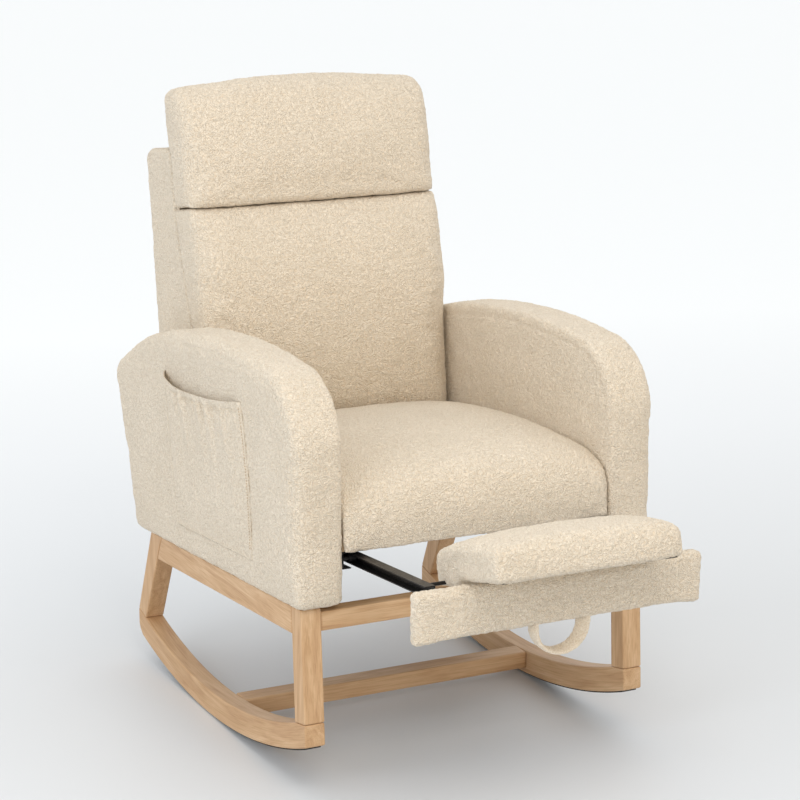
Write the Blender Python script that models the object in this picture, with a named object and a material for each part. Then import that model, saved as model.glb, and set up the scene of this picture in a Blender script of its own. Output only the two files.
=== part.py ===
"""Rocking armchair with a pull-out footrest and a reclining back.

Frame: +Z up, the front of the chair faces -Y, metres. The origin is on the
floor, under the centre of the chair's box with the footrest pulled out.
The chair is modelled as it stands on its rockers, with the seat tipped back.
"""

import math

import bmesh
import bpy
from mathutils import Vector

GAP = 0.0003

# Wooden base
BASE_X_IN = 0.2720
BASE_X_OUT = 0.3065
ROCKER_CENTRE = (0.1873, 1.1680)
ROCKER_R_BOTTOM = 1.1657
ROCKER_R_TOP = 1.1236
ROCKER_FRONT_Y = -0.2466
ROCKER_REAR_Y = 0.5042
ROCKER_SEGMENTS = 40
STRIP_R_IN = 1.1660
STRIP_R_OUT = 1.1680
STRIP_X_IN = 0.2760
STRIP_X_OUT = 0.3025
STRIP_FRONT_Y = -0.2370
STRIP_REAR_Y = 0.4860
TOP_FRONT = (-0.2475, 0.3097)
TOP_SLOPE = -0.0814
RAIL_HEIGHT = 0.0455
FRONT_POST_SEAT = ((-0.2448, 0.1231), (-0.2045, 0.1149))
FRONT_POST_HEAD_Y = (-0.2334, -0.1949)
REAR_POST_FOOT_Y = (0.4678, 0.5035)
REAR_POST_HEAD_Y = (0.3777, 0.4299)
FRONT_RAIL = (-0.2320, -0.2030, 0.2695, 0.3015)
REAR_RAIL = (0.3450, 0.3720, 0.2160, 0.2560)
STRETCHER = (0.0846, 0.1240, 0.0174, 0.0476)

# Upholstered arms
ARM_X_IN = 0.2370
ARM_X_OUT = 0.3175
ARM_EDGE_RADIUS = 0.018
ARM_FRAME_INSET = 0.024
PANEL_X_IN = 0.2440
PANEL_X_OUT = 0.2560
SILL_X_OUT = 0.3000
SILL_HEIGHT = 0.030
SILL_Y = (-0.1900, 0.3700)
POCKET_FRONT = ((-0.0700, 0.3450), (-0.0330, 0.5985))
POCKET_REAR = ((0.2560, 0.3180), (0.3060, 0.5790))
POCKET_MOUTH_LOW = (0.2100, 0.5670)
POCKET_DEPTH = 0.0145
POCKET_WALL = 0.0030

# Seat and footrest slides share one plane, tipped back from front to rear
SEAT_ORIGIN = (0.0, -0.2475, 0.3940)
SEAT_TILT = math.radians(5.0)
SEAT_X = 0.2360
SEAT_RAIL_IN = 0.2110
SEAT_RAIL_W = (0.0020, 0.0530)
REAR_RAIL_X = 0.2074
SEAT_CUSHION_BASE = 0.0580
APRON_LOW_W = -0.0030
SPRING_X = (-0.150, -0.050, 0.050, 0.150)
SPRING_WIRE_R = 0.0018

# Back, hinged beside the rear of the seat
RECLINE_AXIS = (0.0, 0.3850, 0.3720)
BACK_X = 0.2350
CUSHION_X = 0.2325
BACK_FRONT_POINT = (0.4680, 0.6270)
BACK_RAKE = 0.1864
STILE_X_IN = 0.1640
STILE_X_OUT = 0.2039
PLATE_T = 0.0030
PIN_R = 0.0050
PIN_HOLE_R = 0.00507
PIN_SEGMENTS = 48

# Footrest slides, in the seat plane: x across, u to the rear, w up
CHANNEL_X = (0.2205, 0.2345)
CHANNEL_W = (-0.0270, -0.0004)
CHANNEL_U = (0.0160, 0.4700)
RUNNER_X = (0.2010, 0.2180)
RUNNER_W = (-0.0222, -0.0052)
RUNNER_U = (-0.2375, 0.1650)
SHEET_T = 0.0018
ROLLER_W = -0.0137
FRONT_ROLLER_U = 0.0310
FRONT_ROLLER_R = 0.0064
REAR_ROLLER_U = 0.1520
REAR_ROLLER_R = 0.0110

# Footrest front panel, upright
PANEL_X = 0.2450
PANEL_Y = (-0.5085, -0.4865)
PANEL_Z = (0.3262, 0.4080)
PANEL_FOAM = 0.0065

# Footrest pad, flipped about a rod between the two runners
ROD_U = -0.1816
ROD_W = -0.0185
ROD_R = 0.0030
KNUCKLE_HOLE_R = 0.00306
SKIRT_HOLE_R = 0.0040
PAD_TILT = math.radians(13.8)
PAD_X = 0.1580
PAD_V = (-0.1767, 0.0290)
PAD_BASE_N = 0.0062
PAD_SKIRT_BEND_V = -0.0450
PAD_SKIRT_LOW_N = -0.0085
BRACKET_X = (0.1270, 0.1470)


def principled(name, colour, roughness, metallic=0.0):
    """A material with one Principled BSDF."""
    made = bpy.data.materials.new(name)
    made.use_nodes = True
    shader = made.node_tree.nodes["Principled BSDF"]
    shader.inputs["Base Color"].default_value = (*colour, 1.0)
    shader.inputs["Roughness"].default_value = roughness
    shader.inputs["Metallic"].default_value = metallic
    made.diffuse_color = (*colour, 1.0)
    return made


def place(name, mesh, material, parent=None, smooth=False):
    """Links a mesh as a named object on its parent empty."""
    item = bpy.data.objects.new(name, mesh)
    bpy.context.scene.collection.objects.link(item)
    if material is not None:
        mesh.materials.append(material)
    for polygon in mesh.polygons:
        polygon.use_smooth = smooth
    item.parent = parent
    return item


def empty(name, location, tilt=0.0, parent=None):
    """An empty on a joint's axis, tipped about X."""
    item = bpy.data.objects.new(name, None)
    item.location = location
    item.rotation_euler = (tilt, 0.0, 0.0)
    item.parent = parent
    bpy.context.scene.collection.objects.link(item)
    return item


def swept(name, outline, start, end, axis="X", origin=(0.0, 0.0, 0.0)):
    """A closed mesh: a flat outline pushed from start to end along an axis.

    The outline is in (y, z) for axis X, in (x, z) for axis Y.
    """
    bm = bmesh.new()
    base = Vector(origin)
    rings = []
    for depth in (start, end):
        ring = []
        for a, b in outline:
            point = Vector((depth, a, b)) if axis == "X" else Vector((a, depth, b))
            ring.append(bm.verts.new(point - base))
        rings.append(ring)
    bm.faces.new(rings[0])
    bm.faces.new(reversed(rings[1]))
    count = len(outline)
    for i in range(count):
        j = (i + 1) % count
        bm.faces.new((rings[0][j], rings[0][i], rings[1][i], rings[1][j]))
    bmesh.ops.recalc_face_normals(bm, faces=bm.faces)
    mesh = bpy.data.meshes.new(name)
    bm.to_mesh(mesh)
    bm.free()
    return mesh


def block(name, x, y, z, origin=(0.0, 0.0, 0.0)):
    """A rectangular mesh between the pairs x, y and z."""
    outline = [(y[0], z[0]), (y[1], z[0]), (y[1], z[1]), (y[0], z[1])]
    return swept(name, outline, x[0], x[1], "X", origin)


def turned(name, profile, y, z, segments=32):
    """A turned mesh about X: profile is a list of (x, radius) from end to end."""
    bm = bmesh.new()
    rings = []
    for x, radius in profile:
        ring = []
        for i in range(segments):
            angle = 2.0 * math.pi * i / segments
            ring.append(bm.verts.new((x, y + radius * math.cos(angle), z + radius * math.sin(angle))))
        rings.append(ring)
    for first, second in zip(rings, rings[1:]):
        for i in range(segments):
            j = (i + 1) % segments
            bm.faces.new((first[i], first[j], second[j], second[i]))
    bm.faces.new(rings[0])
    bm.faces.new(rings[-1])
    bmesh.ops.recalc_face_normals(bm, faces=bm.faces)
    mesh = bpy.data.meshes.new(name)
    bm.to_mesh(mesh)
    bm.free()
    return mesh


def cutter(name, mesh, parent=None):
    """A mesh object that only cuts others."""
    item = place(name, mesh, None, parent)
    item.hide_render = True
    item.display_type = "WIRE"
    return item


def combine(item, tool, operation):
    """An exact Boolean of item with tool."""
    modifier = item.modifiers.new(operation.title(), "BOOLEAN")
    modifier.operation = operation
    modifier.object = tool
    modifier.solver = "EXACT"


def bevel(item, width, segments=2, angle=40.0):
    """Rounds the sharp edges of an object."""
    modifier = item.modifiers.new("Bevel", "BEVEL")
    modifier.width = width
    modifier.segments = segments
    modifier.limit_method = "ANGLE"
    modifier.angle_limit = math.radians(angle)
    modifier.use_clamp_overlap = True


def arc(centre, radius, y_from, y_to, count):
    """Points on the lower side of a circle in (y, z), from one y to another."""
    first = math.asin((y_from - centre[0]) / radius)
    last = math.asin((y_to - centre[0]) / radius)
    points = []
    for i in range(count + 1):
        angle = first + (last - first) * i / count
        points.append((centre[0] + radius * math.sin(angle), centre[1] - radius * math.cos(angle)))
    return points


def through(a, b, c, count):
    """Points on the circle arc from a through b to c."""
    ax, ay = a
    bx, by = b
    cx, cy = c
    d = 2.0 * (ax * (by - cy) + bx * (cy - ay) + cx * (ay - by))
    sa = ax * ax + ay * ay
    sb = bx * bx + by * by
    sc = cx * cx + cy * cy
    ux = (sa * (by - cy) + sb * (cy - ay) + sc * (ay - by)) / d
    uy = (sa * (cx - bx) + sb * (ax - cx) + sc * (bx - ax)) / d
    radius = math.hypot(ax - ux, ay - uy)
    start = math.atan2(ay - uy, ax - ux)
    turn_ab = (math.atan2(by - uy, bx - ux) - start) % (2.0 * math.pi)
    turn_ac = (math.atan2(cy - uy, cx - ux) - start) % (2.0 * math.pi)
    if turn_ab > turn_ac:
        turn_ac -= 2.0 * math.pi
    points = []
    for i in range(count + 1):
        angle = start + turn_ac * i / count
        points.append((ux + radius * math.cos(angle), uy + radius * math.sin(angle)))
    return points


def rounded(corners, segments=5):
    """An outline from (a, b, radius) corners, each radius drawn as an arc."""
    points = []
    count = len(corners)
    for i, (a, b, radius) in enumerate(corners):
        here = Vector((a, b))
        if radius <= 0.0:
            points.append((a, b))
            continue
        before = Vector(corners[i - 1][:2]) - here
        after = Vector(corners[(i + 1) % count][:2]) - here
        half = before.angle(after) / 2.0
        along = radius / math.tan(half)
        start = here + before.normalized() * along
        middle_direction = (before.normalized() + after.normalized()).normalized()
        centre = here + middle_direction * (radius / math.sin(half))
        end = here + after.normalized() * along
        first = math.atan2(start.y - centre.y, start.x - centre.x)
        turn = math.atan2(end.y - centre.y, end.x - centre.x) - first
        turn = (turn + math.pi) % (2.0 * math.pi) - math.pi
        for k in range(segments + 1):
            angle = first + turn * k / segments
            points.append((centre.x + radius * math.cos(angle), centre.y + radius * math.sin(angle)))
    return points


def inset(outline, distance):
    """The outline moved inwards, for outlines that run counter-clockwise."""
    moved = []
    count = len(outline)
    for i in range(count):
        before = Vector(outline[i]) - Vector(outline[i - 1])
        after = Vector(outline[(i + 1) % count]) - Vector(outline[i])
        normal_before = Vector((-before.y, before.x)).normalized()
        normal_after = Vector((-after.y, after.x)).normalized()
        bisector = (normal_before + normal_after).normalized()
        reach = distance / max(0.5, bisector.dot(normal_after))
        moved.append((outline[i][0] + bisector.x * reach, outline[i][1] + bisector.y * reach))
    return moved


def base_top(y):
    """Height of the top plane of the wooden base."""
    return TOP_FRONT[1] + TOP_SLOPE * (y - TOP_FRONT[0])


def rocker_top(y):
    """Height of the rocker's upper edge."""
    return ROCKER_CENTRE[1] - math.sqrt(ROCKER_R_TOP**2 - (y - ROCKER_CENTRE[0]) ** 2)


def back_front(z, offset=0.0):
    """The y of the back's front plane at a height."""
    return BACK_FRONT_POINT[0] + BACK_RAKE * (z - BACK_FRONT_POINT[1]) + offset


def arm_outline():
    """The arm's side outline in (y, z), counter-clockwise seen from +X."""
    rear_top = (0.5630, 0.4960)
    corner = through(rear_top, (0.5685, 0.5290), (0.5420, 0.5575), 6)
    tail = through(corner[-1], (0.4820, 0.5915), (0.4200, 0.6220), 4)
    top = through(tail[-1], (0.1500, 0.6720), (-0.1350, 0.6745), 14)
    nose = through(top[-1], (-0.2180, 0.6340), (-0.2475, 0.5450), 9)
    lower = rounded(
        [
            (-0.2475, base_top(-0.2475) + GAP, 0.0),
            (0.4860, base_top(0.4860) + GAP, 0.012),
            (*rear_top, 0.0),
        ],
        5,
    )
    return lower + corner[1:] + tail[1:] + top[1:] + nose[1:]


for old in list(bpy.data.objects):
    bpy.data.objects.remove(old, do_unlink=True)

oak = principled("light_wood", (0.62, 0.42, 0.25), 0.55)
plywood = principled("plywood", (0.55, 0.40, 0.25), 0.70)
rubber = principled("black_rubber", (0.02, 0.02, 0.02), 0.85)
steel = principled("black_steel", (0.025, 0.024, 0.023), 0.40, 0.8)
zinc = principled("zinc_steel", (0.55, 0.55, 0.56), 0.35, 1.0)
nylon = principled("black_nylon", (0.02, 0.02, 0.02), 0.50)
boucle = principled("cream_boucle", (0.76, 0.66, 0.50), 0.95)
lining = principled("black_lining", (0.03, 0.03, 0.03), 0.90)


def named(material, name):
    """A copy of a material for one sub-part."""
    copy = material.copy()
    copy.name = name + "_material"
    return copy


def add(name, mesh, material, parent=None, smooth=False):
    """Places a sub-part with its own material."""
    return place(name, mesh, named(material, name), parent, smooth)


SIDES = (("left", -1.0), ("right", 1.0))


def span(sign, x_in, x_out):
    """The pair of x values of a part on one side of the chair."""
    return (sign * x_in, sign * x_out) if sign > 0 else (sign * x_out, sign * x_in)


# ---------------------------------------------------------------- base
bottom_arc = arc(ROCKER_CENTRE, ROCKER_R_BOTTOM, ROCKER_FRONT_Y, ROCKER_REAR_Y - 0.016, ROCKER_SEGMENTS)
top_arc = arc(ROCKER_CENTRE, ROCKER_R_TOP, FRONT_POST_SEAT[1][0], ROCKER_REAR_Y, ROCKER_SEGMENTS)
rocker_outline = (
    bottom_arc
    + [(ROCKER_REAR_Y - 0.0055, bottom_arc[-1][1] + 0.0085), (ROCKER_REAR_Y, bottom_arc[-1][1] + 0.0190)]
    + list(reversed(top_arc))
    + [FRONT_POST_SEAT[0]]
)
strip_outline = arc(ROCKER_CENTRE, STRIP_R_OUT, STRIP_FRONT_Y, STRIP_REAR_Y, ROCKER_SEGMENTS) + list(
    reversed(arc(ROCKER_CENTRE, STRIP_R_IN, STRIP_FRONT_Y, STRIP_REAR_Y, ROCKER_SEGMENTS))
)
front_post_outline = [
    (FRONT_POST_SEAT[0][0], FRONT_POST_SEAT[0][1] + GAP),
    (FRONT_POST_SEAT[1][0], FRONT_POST_SEAT[1][1] + GAP),
    (FRONT_POST_HEAD_Y[1], base_top(FRONT_POST_HEAD_Y[1])),
    (FRONT_POST_HEAD_Y[0], base_top(FRONT_POST_HEAD_Y[0])),
]
rear_foot = [
    (y, rocker_top(y) + GAP)
    for y in (
        REAR_POST_FOOT_Y[0] + (REAR_POST_FOOT_Y[1] - REAR_POST_FOOT_Y[0]) * k / 3.0 for k in range(4)
    )
]
rear_post_outline = rear_foot + [
    (REAR_POST_HEAD_Y[1], base_top(REAR_POST_HEAD_Y[1])),
    (REAR_POST_HEAD_Y[0], base_top(REAR_POST_HEAD_Y[0])),
]


def on_line(low, high, z):
    """The y at height z on the line from low to high."""
    return low[0] + (high[0] - low[0]) * (z - low[1]) / (high[1] - low[1])


rail_front_low_z = base_top(-0.1972) - RAIL_HEIGHT
rail_front_low_y = on_line(front_post_outline[1], front_post_outline[2], rail_front_low_z) + GAP
rail_rear_low_z = base_top(0.4010) - RAIL_HEIGHT
rail_rear_low_y = on_line(rear_foot[0], rear_post_outline[-1], rail_rear_low_z) - 2.0 * GAP
side_rail_outline = [
    (rail_front_low_y, rail_front_low_z),
    (rail_rear_low_y, rail_rear_low_z),
    (REAR_POST_HEAD_Y[0] - 2.0 * GAP, base_top(REAR_POST_HEAD_Y[0])),
    (FRONT_POST_HEAD_Y[1] + GAP, base_top(FRONT_POST_HEAD_Y[1])),
]

for side, sign in SIDES:
    x = span(sign, BASE_X_IN, BASE_X_OUT)
    for name, outline, width in (
        ("rocker", rocker_outline, 0.0025),
        ("front_post", front_post_outline, 0.0025),
        ("rear_post", rear_post_outline, 0.0025),
        ("side_rail", side_rail_outline, 0.0025),
    ):
        label = f"{name}_{side}"
        bevel(add(label, swept(label, outline, *x), oak), width, 2, 50.0)
    label = f"rocker_strip_{side}"
    add(label, swept(label, strip_outline, *span(sign, STRIP_X_IN, STRIP_X_OUT)), rubber)

cross_x = (-BASE_X_IN + GAP, BASE_X_IN - GAP)
for name, (y0, y1, z0, z1) in (
    ("front_rail", FRONT_RAIL),
    ("rear_rail", REAR_RAIL),
    ("stretcher", STRETCHER),
):
    bevel(add(name, block(name, cross_x, (y0, y1), (z0, z1)), oak), 0.0025, 2)

# ---------------------------------------------------------------- arms
outline = arm_outline()
frame_outline = inset(outline, ARM_FRAME_INSET)
slot_outline = inset(outline, ARM_FRAME_INSET - GAP)


def cut_at_base(points, lift):
    """The outline with its lower edge brought to the base plane plus a lift."""
    low = [p for p in points if p[1] < base_top(p[0]) + 0.030]
    kept = [p for p in points if p not in low]
    front_y = min(p[0] for p in kept)
    rear_y = max(p[0] for p in low)
    return kept + [(front_y, base_top(front_y) + lift), (rear_y, base_top(rear_y) + lift)]


for side, sign in SIDES:
    label = f"arm_cover_{side}"
    cover = add(label, swept(label, outline, *span(sign, ARM_X_IN, ARM_X_OUT)), boucle, None, True)
    bevel(cover, ARM_EDGE_RADIUS, 4, 60.0)
    slot = cutter(
        f"arm_slot_{side}",
        swept("slot", cut_at_base(slot_outline, -0.030), *span(sign, PANEL_X_IN - GAP, PANEL_X_OUT + GAP)),
    )
    y0, y1 = SILL_Y
    sill_slot_outline = [
        (y0 - GAP, base_top(y0) - 0.030),
        (y1 + GAP, base_top(y1) - 0.030),
        (y1 + GAP, base_top(y1) + SILL_HEIGHT + 2.0 * GAP),
        (y0 - GAP, base_top(y0) + SILL_HEIGHT + 2.0 * GAP),
    ]
    sill_slot = cutter(
        f"sill_slot_{side}",
        swept("sill_slot", sill_slot_outline, *span(sign, PANEL_X_OUT - 0.004, SILL_X_OUT + GAP)),
    )
    combine(cover, slot, "DIFFERENCE")
    combine(cover, sill_slot, "DIFFERENCE")
    label = f"arm_frame_{side}"
    frame = add(
        label,
        swept(label, cut_at_base(frame_outline, 2.0 * GAP), *span(sign, PANEL_X_IN, PANEL_X_OUT)),
        plywood,
    )
    sill_outline = [
        (y0, base_top(y0) + 2.0 * GAP),
        (y1, base_top(y1) + 2.0 * GAP),
        (y1, base_top(y1) + SILL_HEIGHT),
        (y0, base_top(y0) + SILL_HEIGHT),
    ]
    sill = cutter(
        f"sill_{side}", swept("sill", sill_outline, *span(sign, PANEL_X_OUT - 0.004, SILL_X_OUT))
    )
    combine(frame, sill, "UNION")

    pocket_x = span(sign, ARM_X_OUT + GAP, ARM_X_OUT + GAP + POCKET_DEPTH)
    mouth = through(POCKET_REAR[1], POCKET_MOUTH_LOW, POCKET_FRONT[1], 8)
    pocket_outline = [POCKET_FRONT[0], POCKET_REAR[0]] + mouth
    label = f"side_pocket_{side}"
    pocket = add(label, swept(label, pocket_outline, *pocket_x), boucle, None, True)
    bevel(pocket, 0.0025, 2, 60.0)
    pouch_outline = [
        (POCKET_FRONT[0][0] + 0.0110, POCKET_FRONT[0][1] + 0.0100),
        (POCKET_REAR[0][0] - 0.0090, POCKET_REAR[0][1] + 0.0110),
        (POCKET_REAR[1][0] - 0.0050, 0.6400),
        (POCKET_FRONT[1][0] + 0.0170, 0.6400),
    ]
    pouch_x = span(
        sign,
        ARM_X_OUT + GAP + POCKET_WALL,
        ARM_X_OUT + GAP + POCKET_DEPTH - POCKET_WALL,
    )
    combine(pocket, cutter(f"pouch_{side}", swept("pouch", pouch_outline, *pouch_x)), "DIFFERENCE")

# ---------------------------------------------------------------- seat
seat = empty("seat_plane", SEAT_ORIGIN, -SEAT_TILT)
add(
    "seat_front_rail",
    block("seat_front_rail", (-SEAT_X, SEAT_X), (0.0123, 0.0340), SEAT_RAIL_W),
    plywood,
    seat,
)
add(
    "seat_rear_rail",
    block("seat_rear_rail", (-REAR_RAIL_X, REAR_RAIL_X), (0.5130, 0.5350), SEAT_RAIL_W),
    plywood,
    seat,
)
for side, sign in SIDES:
    label = f"seat_side_rail_{side}"
    add(label, block(label, span(sign, SEAT_RAIL_IN, SEAT_X), (0.0343, 0.5600), SEAT_RAIL_W), plywood, seat)

for index, x in enumerate(SPRING_X, 1):
    label = f"seat_spring_{index}"
    curve = bpy.data.curves.new(label, "CURVE")
    curve.dimensions = "3D"
    curve.bevel_depth = SPRING_WIRE_R
    curve.bevel_resolution = 1
    curve.use_fill_caps = True
    spline = curve.splines.new("POLY")
    path = [(x, 0.0150), (x, 0.0400)]
    turns = 17
    pitch = (0.5080 - 0.0400) / turns
    for k in range(turns):
        swing = 0.020 if k % 2 == 0 else -0.020
        start_u = 0.0400 + k * pitch
        path.append((x + swing * 0.85, start_u + 0.18 * pitch))
        path.append((x + swing, start_u + 0.50 * pitch))
        path.append((x + swing * 0.85, start_u + 0.82 * pitch))
    path.append((x, 0.5090))
    path.append((x, 0.5330))
    spline.points.add(len(path) - 1)
    for point, (px, pu) in zip(spline.points, path):
        point.co = (px, pu, SEAT_RAIL_W[1] + GAP + SPRING_WIRE_R, 1.0)
    spring = bpy.data.objects.new(label, curve)
    spring.parent = seat
    curve.materials.append(named(zinc, label))
    bpy.context.scene.collection.objects.link(spring)

seat_top = through((0.0550, 0.1180), (0.3000, 0.1360), (0.5200, 0.1280), 14)
seat_outline = (
    [(0.0, APRON_LOW_W), (0.0115, APRON_LOW_W), (0.0115, SEAT_CUSHION_BASE), (0.5475, SEAT_CUSHION_BASE)]
    + rounded([(0.5475, SEAT_CUSHION_BASE, 0.0), (0.5410, 0.1265, 0.016), (0.5200, 0.1280, 0.0)], 4)[1:-1]
    + list(reversed(seat_top))[1:]
    + rounded([(0.0550, 0.1180, 0.0), (0.0, 0.1050, 0.040), (0.0, APRON_LOW_W, 0.0)], 6)[1:-1]
)
add(
    "seat_cushion",
    swept("seat_cushion", seat_outline, -SEAT_X, SEAT_X),
    boucle,
    seat,
    True,
)
add(
    "dust_cover",
    block("dust_cover", (-0.2350, 0.2350), (0.0130, 0.5560), (0.0003, 0.0014)),
    lining,
    seat,
)

# ---------------------------------------------------------------- fixed slides and hinges
recline_u = 0.6320
recline_w = 0.0332
for side, sign in SIDES:
    x_in, x_out = CHANNEL_X
    w0, w1 = CHANNEL_W
    section = [
        (sign * x_in, w0),
        (sign * x_out, w0),
        (sign * x_out, w1),
        (sign * x_in, w1),
        (sign * x_in, w1 - SHEET_T),
        (sign * (x_out - SHEET_T), w1 - SHEET_T),
        (sign * (x_out - SHEET_T), w0 + SHEET_T),
        (sign * x_in, w0 + SHEET_T),
    ]
    label = f"slide_channel_{side}"
    add(label, swept(label, section, *CHANNEL_U, axis="Y"), steel, seat)

    roller_axle = empty(f"front_roller_axle_{side}", (0.0, FRONT_ROLLER_U, ROLLER_W), 0.0, seat)
    profile = [
        (sign * 0.2055, FRONT_ROLLER_R - 0.0010),
        (sign * 0.2065, FRONT_ROLLER_R),
        (sign * 0.2160, FRONT_ROLLER_R),
        (sign * 0.2170, FRONT_ROLLER_R - 0.0010),
        (sign * 0.2170, 0.0030),
        (sign * (x_out - SHEET_T - GAP), 0.0030),
    ]
    label = f"front_roller_{side}"
    add(label, turned(label, profile, 0.0, 0.0), nylon, roller_axle, True)

    bracket_outline = rounded(
        [
            (0.4850, 0.0060, 0.004),
            (recline_u + 0.0200, recline_w - 0.0210, 0.018),
            (recline_u + 0.0200, recline_w + 0.0180, 0.018),
            (0.4850, 0.0500, 0.004),
        ],
        5,
    )
    label = f"recline_bracket_{side}"
    plate_x = span(sign, SEAT_RAIL_IN - GAP - PLATE_T, SEAT_RAIL_IN - GAP)
    bracket = add(label, swept(label, bracket_outline, *plate_x), steel, seat)
    hole = turned(
        "hole",
        [(sign * 0.19, PIN_HOLE_R), (sign * 0.23, PIN_HOLE_R)],
        recline_u,
        recline_w,
        PIN_SEGMENTS,
    )
    combine(bracket, cutter(f"bracket_hole_{side}", hole, seat), "DIFFERENCE")
    pin_profile = [
        (sign * 0.1985, PIN_R),
        (sign * 0.2111, PIN_R),
        (sign * 0.2111, 0.0090),
        (sign * 0.2150, 0.0080),
    ]
    label = f"recline_pin_{side}"
    pin = turned(label, pin_profile, recline_u, recline_w, PIN_SEGMENTS)
    add(label, pin, zinc, seat)

# ---------------------------------------------------------------- back
hinge = empty("recline_axis", RECLINE_AXIS)
AXIS = RECLINE_AXIS


def slab(z0, z1, depth0, depth1):
    """An outline between two heights and two depths behind the back's front plane."""
    return [
        (back_front(z0, depth0), z0),
        (back_front(z0, depth1), z0),
        (back_front(z1, depth1), z1),
        (back_front(z1, depth0), z1),
    ]


shell_outline = rounded(
    [
        (back_front(0.3220), 0.3220, 0.006),
        (0.4780, 0.3200, 0.022),
        (0.5200, 0.3850, 0.060),
        (0.5590, 0.5200, 0.200),
        (0.6082, 0.9120, 0.022),
        (back_front(0.9280), 0.9280, 0.010),
    ],
    5,
)
shell = add("back_shell", swept("back_shell", shell_outline, -BACK_X, BACK_X, "X", AXIS), boucle, hinge, True)
bevel(shell, 0.010, 3, 60.0)
tray = swept("tray", slab(0.3440, 0.8960, -0.030, 0.0310), -STILE_X_OUT - 0.004, STILE_X_OUT + 0.004, "X", AXIS)
combine(shell, cutter("shell_tray", tray, hinge), "DIFFERENCE")
well = swept("well", slab(0.4120, 0.8420, 0.0200, 0.0750), -0.1600, 0.1600, "X", AXIS)
combine(shell, cutter("shell_well", well, hinge), "DIFFERENCE")

for side, sign in SIDES:
    label = f"back_stile_{side}"
    add(
        label,
        swept(label, slab(0.3460, 0.8940, 0.0020, 0.0300), *span(sign, STILE_X_IN, STILE_X_OUT), "X", AXIS),
        plywood,
        hinge,
    )
for label, z0, z1 in (("back_top_rail", 0.8480, 0.8940), ("back_bottom_rail", 0.3460, 0.4060)):
    rail_x = (-STILE_X_IN + GAP, STILE_X_IN - GAP)
    add(label, swept(label, slab(z0, z1, 0.0020, 0.0300), *rail_x, "X", AXIS), plywood, hinge)

for side, sign in SIDES:
    strap_outline = rounded(
        [
            (AXIS[1] - 0.0180, AXIS[2] - 0.0190, 0.0170),
            (AXIS[1] + 0.0200, AXIS[2] - 0.0190, 0.0120),
            (back_front(0.3580, 0.0280), 0.3580, 0.0),
            (back_front(0.5000, 0.0280), 0.5000, 0.0),
            (back_front(0.5000, 0.0060), 0.5000, 0.0),
            (back_front(0.4150, 0.0030), 0.4150, 0.004),
            (AXIS[1] - 0.0180, AXIS[2] + 0.0200, 0.0170),
        ],
        5,
    )
    label = f"recline_arm_{side}"
    arm_x = span(sign, STILE_X_OUT + GAP, STILE_X_OUT + GAP + PLATE_T)
    arm = add(label, swept(label, strap_outline, *arm_x, "X", AXIS), steel, hinge)
    hole = turned("hole", [(sign * 0.19, PIN_HOLE_R), (sign * 0.23, PIN_HOLE_R)], 0.0, 0.0, PIN_SEGMENTS)
    hole_cutter = cutter(f"arm_hole_{side}", hole, hinge)
    hole_cutter.rotation_euler = (-SEAT_TILT, 0.0, 0.0)
    combine(arm, hole_cutter, "DIFFERENCE")

crease_front = (0.3829, 0.8395)
crease_rear_z = 0.8160
lumbar_outline = (
    [(back_front(0.4400) - GAP, 0.4400), (back_front(crease_rear_z) - GAP, crease_rear_z)]
    + rounded(
        [
            (back_front(crease_rear_z) - GAP, crease_rear_z, 0.0),
            (crease_front[0] - 0.012, crease_front[1] - GAP, 0.022),
            (0.3130, 0.7100, 0.0),
        ],
        5,
    )[1:-1]
    + through((0.3390, 0.7600), (0.3120, 0.6200), (0.3020, 0.4700), 10)
    + rounded([(0.3020, 0.4700, 0.0), (0.3050, 0.4400, 0.018), (0.40, 0.4400, 0.0)], 4)[1:-1]
)
add(
    "back_cushion",
    swept("back_cushion", lumbar_outline, -CUSHION_X, CUSHION_X, "X", AXIS),
    boucle,
    hinge,
    True,
)
head_outline = (
    [(back_front(crease_rear_z) - GAP, crease_rear_z + 0.0010)]
    + [(back_front(1.0000) - 0.004, 1.0000)]
    + rounded(
        [
            (back_front(1.0000) - 0.004, 1.0000, 0.0),
            (0.5370, 1.0260, 0.020),
            (0.4700, 1.0360, 0.0),
        ],
        4,
    )[1:-1]
    + through((0.4850, 1.0345), (0.3960, 0.9900), (0.3650, 0.8900), 10)
    + rounded(
        [(0.3650, 0.8900, 0.0), (0.3640, 0.8440, 0.018), (back_front(crease_rear_z), crease_rear_z + 0.0010, 0.0)],
        4,
    )[1:-1]
)
add(
    "headrest_cushion",
    swept("headrest_cushion", head_outline, -CUSHION_X, CUSHION_X, "X", AXIS),
    boucle,
    hinge,
    True,
)

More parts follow.
